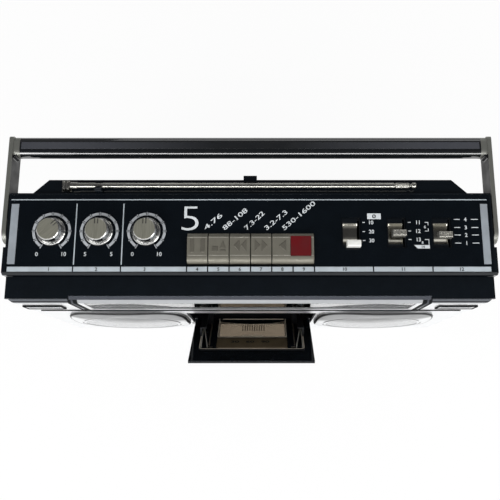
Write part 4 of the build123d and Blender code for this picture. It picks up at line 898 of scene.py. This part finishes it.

# %% [markdown]
# Inside the open door there is a printed mask with a curved lower edge, a darker band, two ribs
# and a light line around the cassette's place, which is a painted highlight along the edge of a
# step. All lie on the door's inner face: v runs from the hinge to the door's free end, and heights
# above the face are given as negative, because the plane's normal points outwards through the door.

# %% Inner side of the open door
door_angle = math.radians(34.5)
hinge_y, hinge_z, face_back = 3.0, 56.2, 5.0
lean, rise = math.sin(door_angle), math.cos(door_angle)
door_face = plane((0, hinge_y - face_back * rise, hinge_z - face_back * lean), (1, 0, 0), (0, -lean, rise))
window_side, window_low, window_top, under, film = 36.6, 1.8, 36.6, 0.01, -0.12
edge_u = np.linspace(-window_side, window_side, 33)
curve_v = 7.6 - 5.4 * (edge_u / window_side) ** 2
mask_rows = [[(u, window_low, under), (u, v, under), (u, v, film), (u, window_low, film)]
             for u, v in zip(edge_u, curve_v)]
piece("window_mask", laid(door_face, [carried(mask_rows)]), plate_black, "door")
fin_height = 4.0
fin_ends = ((window_low, fin_height), (window_top, 0.4))
edges = [carried([[(a, v, under), (b, v, under), (b, v, -h), (a, v, -h)] for v, h in fin_ends])
         for a, b in ((-36.0, -37.1), (36.0, 37.1))]
edges.append(tile(-33.0, 34.5, window_low, 2.8, -fin_height + 0.7, -fin_height))
edges.append(tile(-36.0, 36.0, 35.0, window_top, under, -0.3))
edges.append(line_strip(np.column_stack([edge_u, curve_v]), 1.4, -0.1, -0.18))
piece("window_edges", laid(door_face, edges), taupe_line, "door")
tag = line_strip(rectangle(-10.0, 11.6, 32.0, 34.2), 0.7, 0.0, film, closed=True)
piece("mask_lines", laid(door_face, [tag]), taupe_line, "door")
ticks = [tile(u - 0.45, u + 0.45, 9.4, 22.8, under, -0.1) for u in np.linspace(-10.4, 12.8, 10)]
piece("window_ticks", laid(door_face, ticks), tick_ink, "door")
piece("window_sill", laid(door_face, [tile(-37.0, 37.0, 36.8, 39.2, under, -0.14)]), brown_ink, "door")
band = [tile(-37.2, 37.2, 39.2, 58.6, under, -0.1)]
piece("window_band", laid(door_face, band), brown_band, "door")
tape_sizes = [lettered(text, (u, 0.0), 4.4, width=8.6, low=-0.05, high=0.14)
              for text, u in (("30", -18.0), ("60", -2.0), ("90", 14.0))]
tape_sizes = [(points * (1, -1, -1) + (0, 46.0, 0), faces) for points, faces in tape_sizes]
piece("band_numbers", laid(door_face, tape_sizes), dark_ink, "door", smooth=False)
ribs = [tile(s * 44.2, s * 45.4, 4.0, 53.6, 0.0, -1.4) for s in (-1, 1)]
ribs += [tile(s * 41.0, s * 46.0, 56.6, 57.8, 0.0, -0.4) for s in (-1, 1)]
piece("door_ribs", laid(door_face, ribs), rail_grey, "door")
# Light line around the cassette's place: a painted highlight along the edge of a step.
pocket_side, pocket_corner = 54.2, 3.4
pocket_highlight_path = [(-pocket_side, 6.0), (-pocket_side, 60.0)]
pocket_highlight_path += [(-pocket_side + pocket_corner * (1 - math.cos(a)), 60.3 + pocket_corner * math.sin(a))
             for a in np.radians((15, 35, 55, 75, 90))]
pocket_highlight_path += [(-u, v) for u, v in reversed(pocket_highlight_path)]
piece("pocket_highlight_line", laid(door_face, [line_strip(pocket_highlight_path, 0.9, -1.9, -2.06)]), taupe_line, "door")

# %% [markdown]
# A small wire hook stands out of the front beside the door. It is a ring of eight points carried
# along most of an oval, and its two ends go into the face.

# %% Hook beside the door
hook_x, hook_z, hook_out, wire_radius, hook_places = -64.9, 57.0, 1.2, 0.55, 15
ring = np.radians(np.arange(0, 360, 45))
hook_rows = []
for k, a in enumerate(np.radians(np.linspace(-100, 100, hook_places))):
    out = np.array((-math.cos(a), 0.0, math.sin(a)))
    y = face_y + 0.6 if k in (0, hook_places - 1) else face_y - hook_out
    centre = np.array((hook_x, y, hook_z)) + out * (2.0, 0.0, 4.2)
    hook_rows.append([centre + wire_radius * (out * math.cos(b) + np.array((0, 1.0, 0)) * math.sin(b))
                      for b in ring])
piece("door_hook", [carried(hook_rows)], chrome)

# %% [markdown]
# The grip has a flat pad on top, painted paler towards its ends as a painted reflection. Its metal
# corners are rounded towards the inside by fillers in gloss black, which paint shade into the
# inner corners, and the arms' inner sides get dark sheets of painted shade. These are thin pieces
# on the handle, so they fold with it.

# %% Handle
low, high = box_mm("handle_grip")
pad_front, pad_back, pad_low, pad_high = low[1] + 6.0, high[1] - 6.0, high[2] - 0.2, high[2] + 0.06
section = [(pad_front, pad_low), (pad_back, pad_low), (pad_back - 0.2, pad_high), (pad_front + 0.2, pad_high)]
rows = [[(x, y, z) for y, z in section] for x in np.linspace(low[0] + 1.5, high[0] - 1.5, 41)]
piece("grip_pad", [carried(rows)], grip_grey, "handle")
arm_thickness, round_end, reach = 3.7, 9.9, 3.2
arm_low, arm_high = box_mm("handle_arm_right")
inside = arm_high[0] - arm_thickness
pivot_y, pivot_z = arm_low[1] + 10.5, (arm_low[2] + arm_high[2]) / 2
shape = rectangle(pivot_y + 11.0, low[1] + 2.0, pivot_z - round_end, pivot_z + round_end)
bend = [(inside - reach + reach * math.cos(a), low[1] - reach + reach * math.sin(a))
        for a in np.radians(np.linspace(0, 90, 9))]
bend += [(inside - reach, low[1] + 2.5), (inside + 0.5, low[1] + 2.5), (inside + 0.5, low[1] - reach)]
# The arm sheets are painted shade on the metal arms' inner sides.
arm_shades, corners = [], []
for s in (-1, 1):
    arm_shades.append(carried([[(s * x, y, z) for y, z in shape] for x in (inside + 0.3, inside - 0.06)]))
    corners.append(carried([[(s * x, y, z) for x, y in bend] for z in (low[2] + 2.0, high[2] - 2.2)]))
piece("arm_inner_shades", arm_shades, arm_shade_dark, "handle")
# The corner fillers take gloss black: painted shade in the inner corners of the metal arms.
piece("handle_corner_shades", corners, grip_black, "handle")

# %% [markdown]
# Two round things have a rough rim. The collar on the antenna's tip is knurled: its radius jumps
# at every second direction, and the other way around at the next place. The tuning knob has
# straight flutes, so there the jumps stay in line.

# %% Knurled collar and flutes
directions, knurl_radius, knurl_depth = 24, 2.15, 0.22
end = box_mm("antenna_tip_rod")[1][0]
knurl = [(x, knurl_radius + knurl_depth * ((k + np.arange(directions)) % 2))
         for k, x in enumerate(np.linspace(end - 19.0, end - 7.8, 23))]
piece("tip_knurl", [lathed("antenna_tip_rod", knurl, directions)], antenna_metal, "antenna_tip", smooth=False)

directions, flute_depth = 144, 0.45
low, high = box_mm("tuning_knob")
rim = (high[1] - low[1]) / 2 + 0.1 + np.where(np.arange(directions) % 2, 0.0, flute_depth)
flutes = [(high[0] - inset, rim + grow) for inset, grow in ((4.6, -0.3), (4.4, 0.0), (1.2, 0.0), (0.9, -0.4))]
piece("tuning_flutes", [lathed("tuning_knob", flutes, directions)], chrome, "tuning_control", smooth=False)

# %% [markdown]
# The back isn't in the photograph. It gets what such a player has there: vents, ribs on the
# battery door, and a bare rating plate.

# %% Back
low, high = box_mm("battery_door")
back = plane((0, high[1], 0), (-1, 0, 0), (0, 0, 1))
door_ribs = [tile(-high[0] + 12.0, -low[0] - 12.0, z - 0.6, z + 0.6, -0.2, 0.7)
             for z in np.arange(low[2] + 12.0, high[2] - 16.0, 5.0)]
piece("battery_door_ribs", laid(back, door_ribs), satin_black, "hatch")
vents = [tile(u0, u0 + 80.0, z - 0.9, z + 0.9, -0.3, 0.8)
         for u0 in (-150.0, 70.0) for z in np.arange(118.0, 168.0, 5.0)]
piece("back_vents", laid(back, vents), satin_black)
piece("rating_plate", laid(back, [tile(-28.0, 28.0, 100.0, 124.0, -0.1, 0.25)]), grille_metal)

# %% [markdown]
# The studio: a pale floor, soft lamps, and a room that is white at its edges and dark overhead.
# A gloss black plate seen from above mirrors what is over it, so a dark ceiling keeps it black,
# and the bright edges draw the highlights along every bevel that faces outwards.

# %% Floor and room
white, dark = (1.0, 1.0, 1.0, 1.0), (0.07, 0.07, 0.075, 1.0)


def studio_floor(reach=4.0):
    """Square floor: a diffuse pale surface that the camera sees mostly as plain white."""
    mesh = bpy.data.meshes.new("floor")
    mesh.from_pydata([(x, y, 0) for x, y in rectangle(-reach, reach, -reach, reach)], [], [(0, 1, 2, 3)])
    floor = bpy.data.objects.new("floor", mesh)
    bpy.context.collection.objects.link(floor)
    material = bpy.data.materials.new("studio_floor")
    material.use_nodes = True
    tree = material.node_tree
    plain = wire(tree, tree.nodes["Principled BSDF"], Base_Color=(0.85, 0.85, 0.85, 1.0), Roughness=0.9)
    rays = node(tree, "LightPath").outputs
    mirrored = maths(tree, "MAXIMUM", rays["Is Glossy Ray"], rays["Is Transmission Ray"])
    seen = maths(tree, "MAXIMUM", rays["Is Camera Ray"], mirrored)
    mix = node(tree, "MixShader", Fac=mapped(tree, seen, 0.0, 1.0, 0.0, 0.93))
    put(tree, plain.outputs[0], mix.inputs[1])
    put(tree, node(tree, "Emission").outputs[0], mix.inputs[2])
    wire(tree, tree.nodes["Material Output"], Surface=mix.outputs[0])
    mesh.materials.append(material)
    return floor


def studio_room(ambient=0.55):
    """World: white to the camera and through glass; mirrored, white near the horizon and dark overhead."""
    world = bpy.data.worlds.new("studio_room")
    bpy.context.scene.world = world
    world.use_nodes = True
    tree = world.node_tree
    rays = node(tree, "LightPath").outputs
    _, y, z = node(tree, "SeparateXYZ", Vector=node(tree, "TexCoord").outputs["Generated"]).outputs
    overhead = mapped(tree, z, 0.25, 0.85)
    behind = mapped(tree, y, -0.6, 0.3, 0.0, 0.92)
    mirrored = mixed(tree, maths(tree, "MAXIMUM", overhead, behind), white, dark)
    glossy = mixed(tree, rays["Is Glossy Ray"], (ambient, ambient, ambient, 1.0), mirrored)
    seen = maths(tree, "MAXIMUM", rays["Is Camera Ray"], rays["Is Transmission Ray"])
    wire(tree, tree.nodes["Background"], Color=mixed(tree, seen, glossy, white))


studio_floor()
studio_room()
print("world:", bpy.context.scene.world.name)

# %% [markdown]
# Four lamps face the middle of the player: two from the front corners, a long one in front that
# draws a line along the bevels, and a weak one behind.

# %% Lamps
aim = Vector((0, 0, 0.15))


def softbox(name, place, size, power):
    """Rectangular lamp that faces the middle of the player."""
    lamp = bpy.data.lights.new(name, "AREA")
    lamp.shape = "RECTANGLE"
    lamp.size, lamp.size_y = size
    lamp.energy = power
    made = bpy.data.objects.new(name, lamp)
    bpy.context.collection.objects.link(made)
    made.location = place
    made.rotation_euler = (aim - Vector(place)).to_track_quat("-Z", "Y").to_euler()


softbox("front_left", (-1.1, -1.0, 1.0), (0.9, 0.9), 12)
softbox("front_right", (1.2, -0.8, 0.9), (0.9, 0.9), 9)
softbox("front_strip", (0.0, -1.6, 1.1), (2.2, 0.25), 16)
softbox("back", (0.2, 1.5, 1.0), (1.4, 0.6), 3)
print(len(bpy.data.lights), "lamps")

# %% [markdown]
# The photograph was taken from above and slightly in front. Lines that run to the back meet far
# above the picture and upright edges meet below it, which gives the tilt, 12.5 degrees from
# straight down, and a focal length of 653 pixels on a picture 500 wide.

# %% Camera
focal, picture, aside, tilt = 653.0, 500.0, 12.0, math.radians(12.5)
lens = bpy.data.cameras.new("photo_camera")
lens.sensor_width = 36.0
lens.lens = focal / picture * lens.sensor_width
lens.shift_x = -aside / picture
lens.clip_start = 0.01
camera = bpy.data.objects.new("photo_camera", lens)
bpy.context.collection.objects.link(camera)
camera.location = to_metres((10.6, -82.0, 787.0)).tolist()
camera.rotation_euler = (tilt, 0, 0)
bpy.context.scene.camera = camera
bpy.context.scene.view_settings.view_transform = "Standard"
print("camera with a lens of", round(lens.lens, 1), "mm")
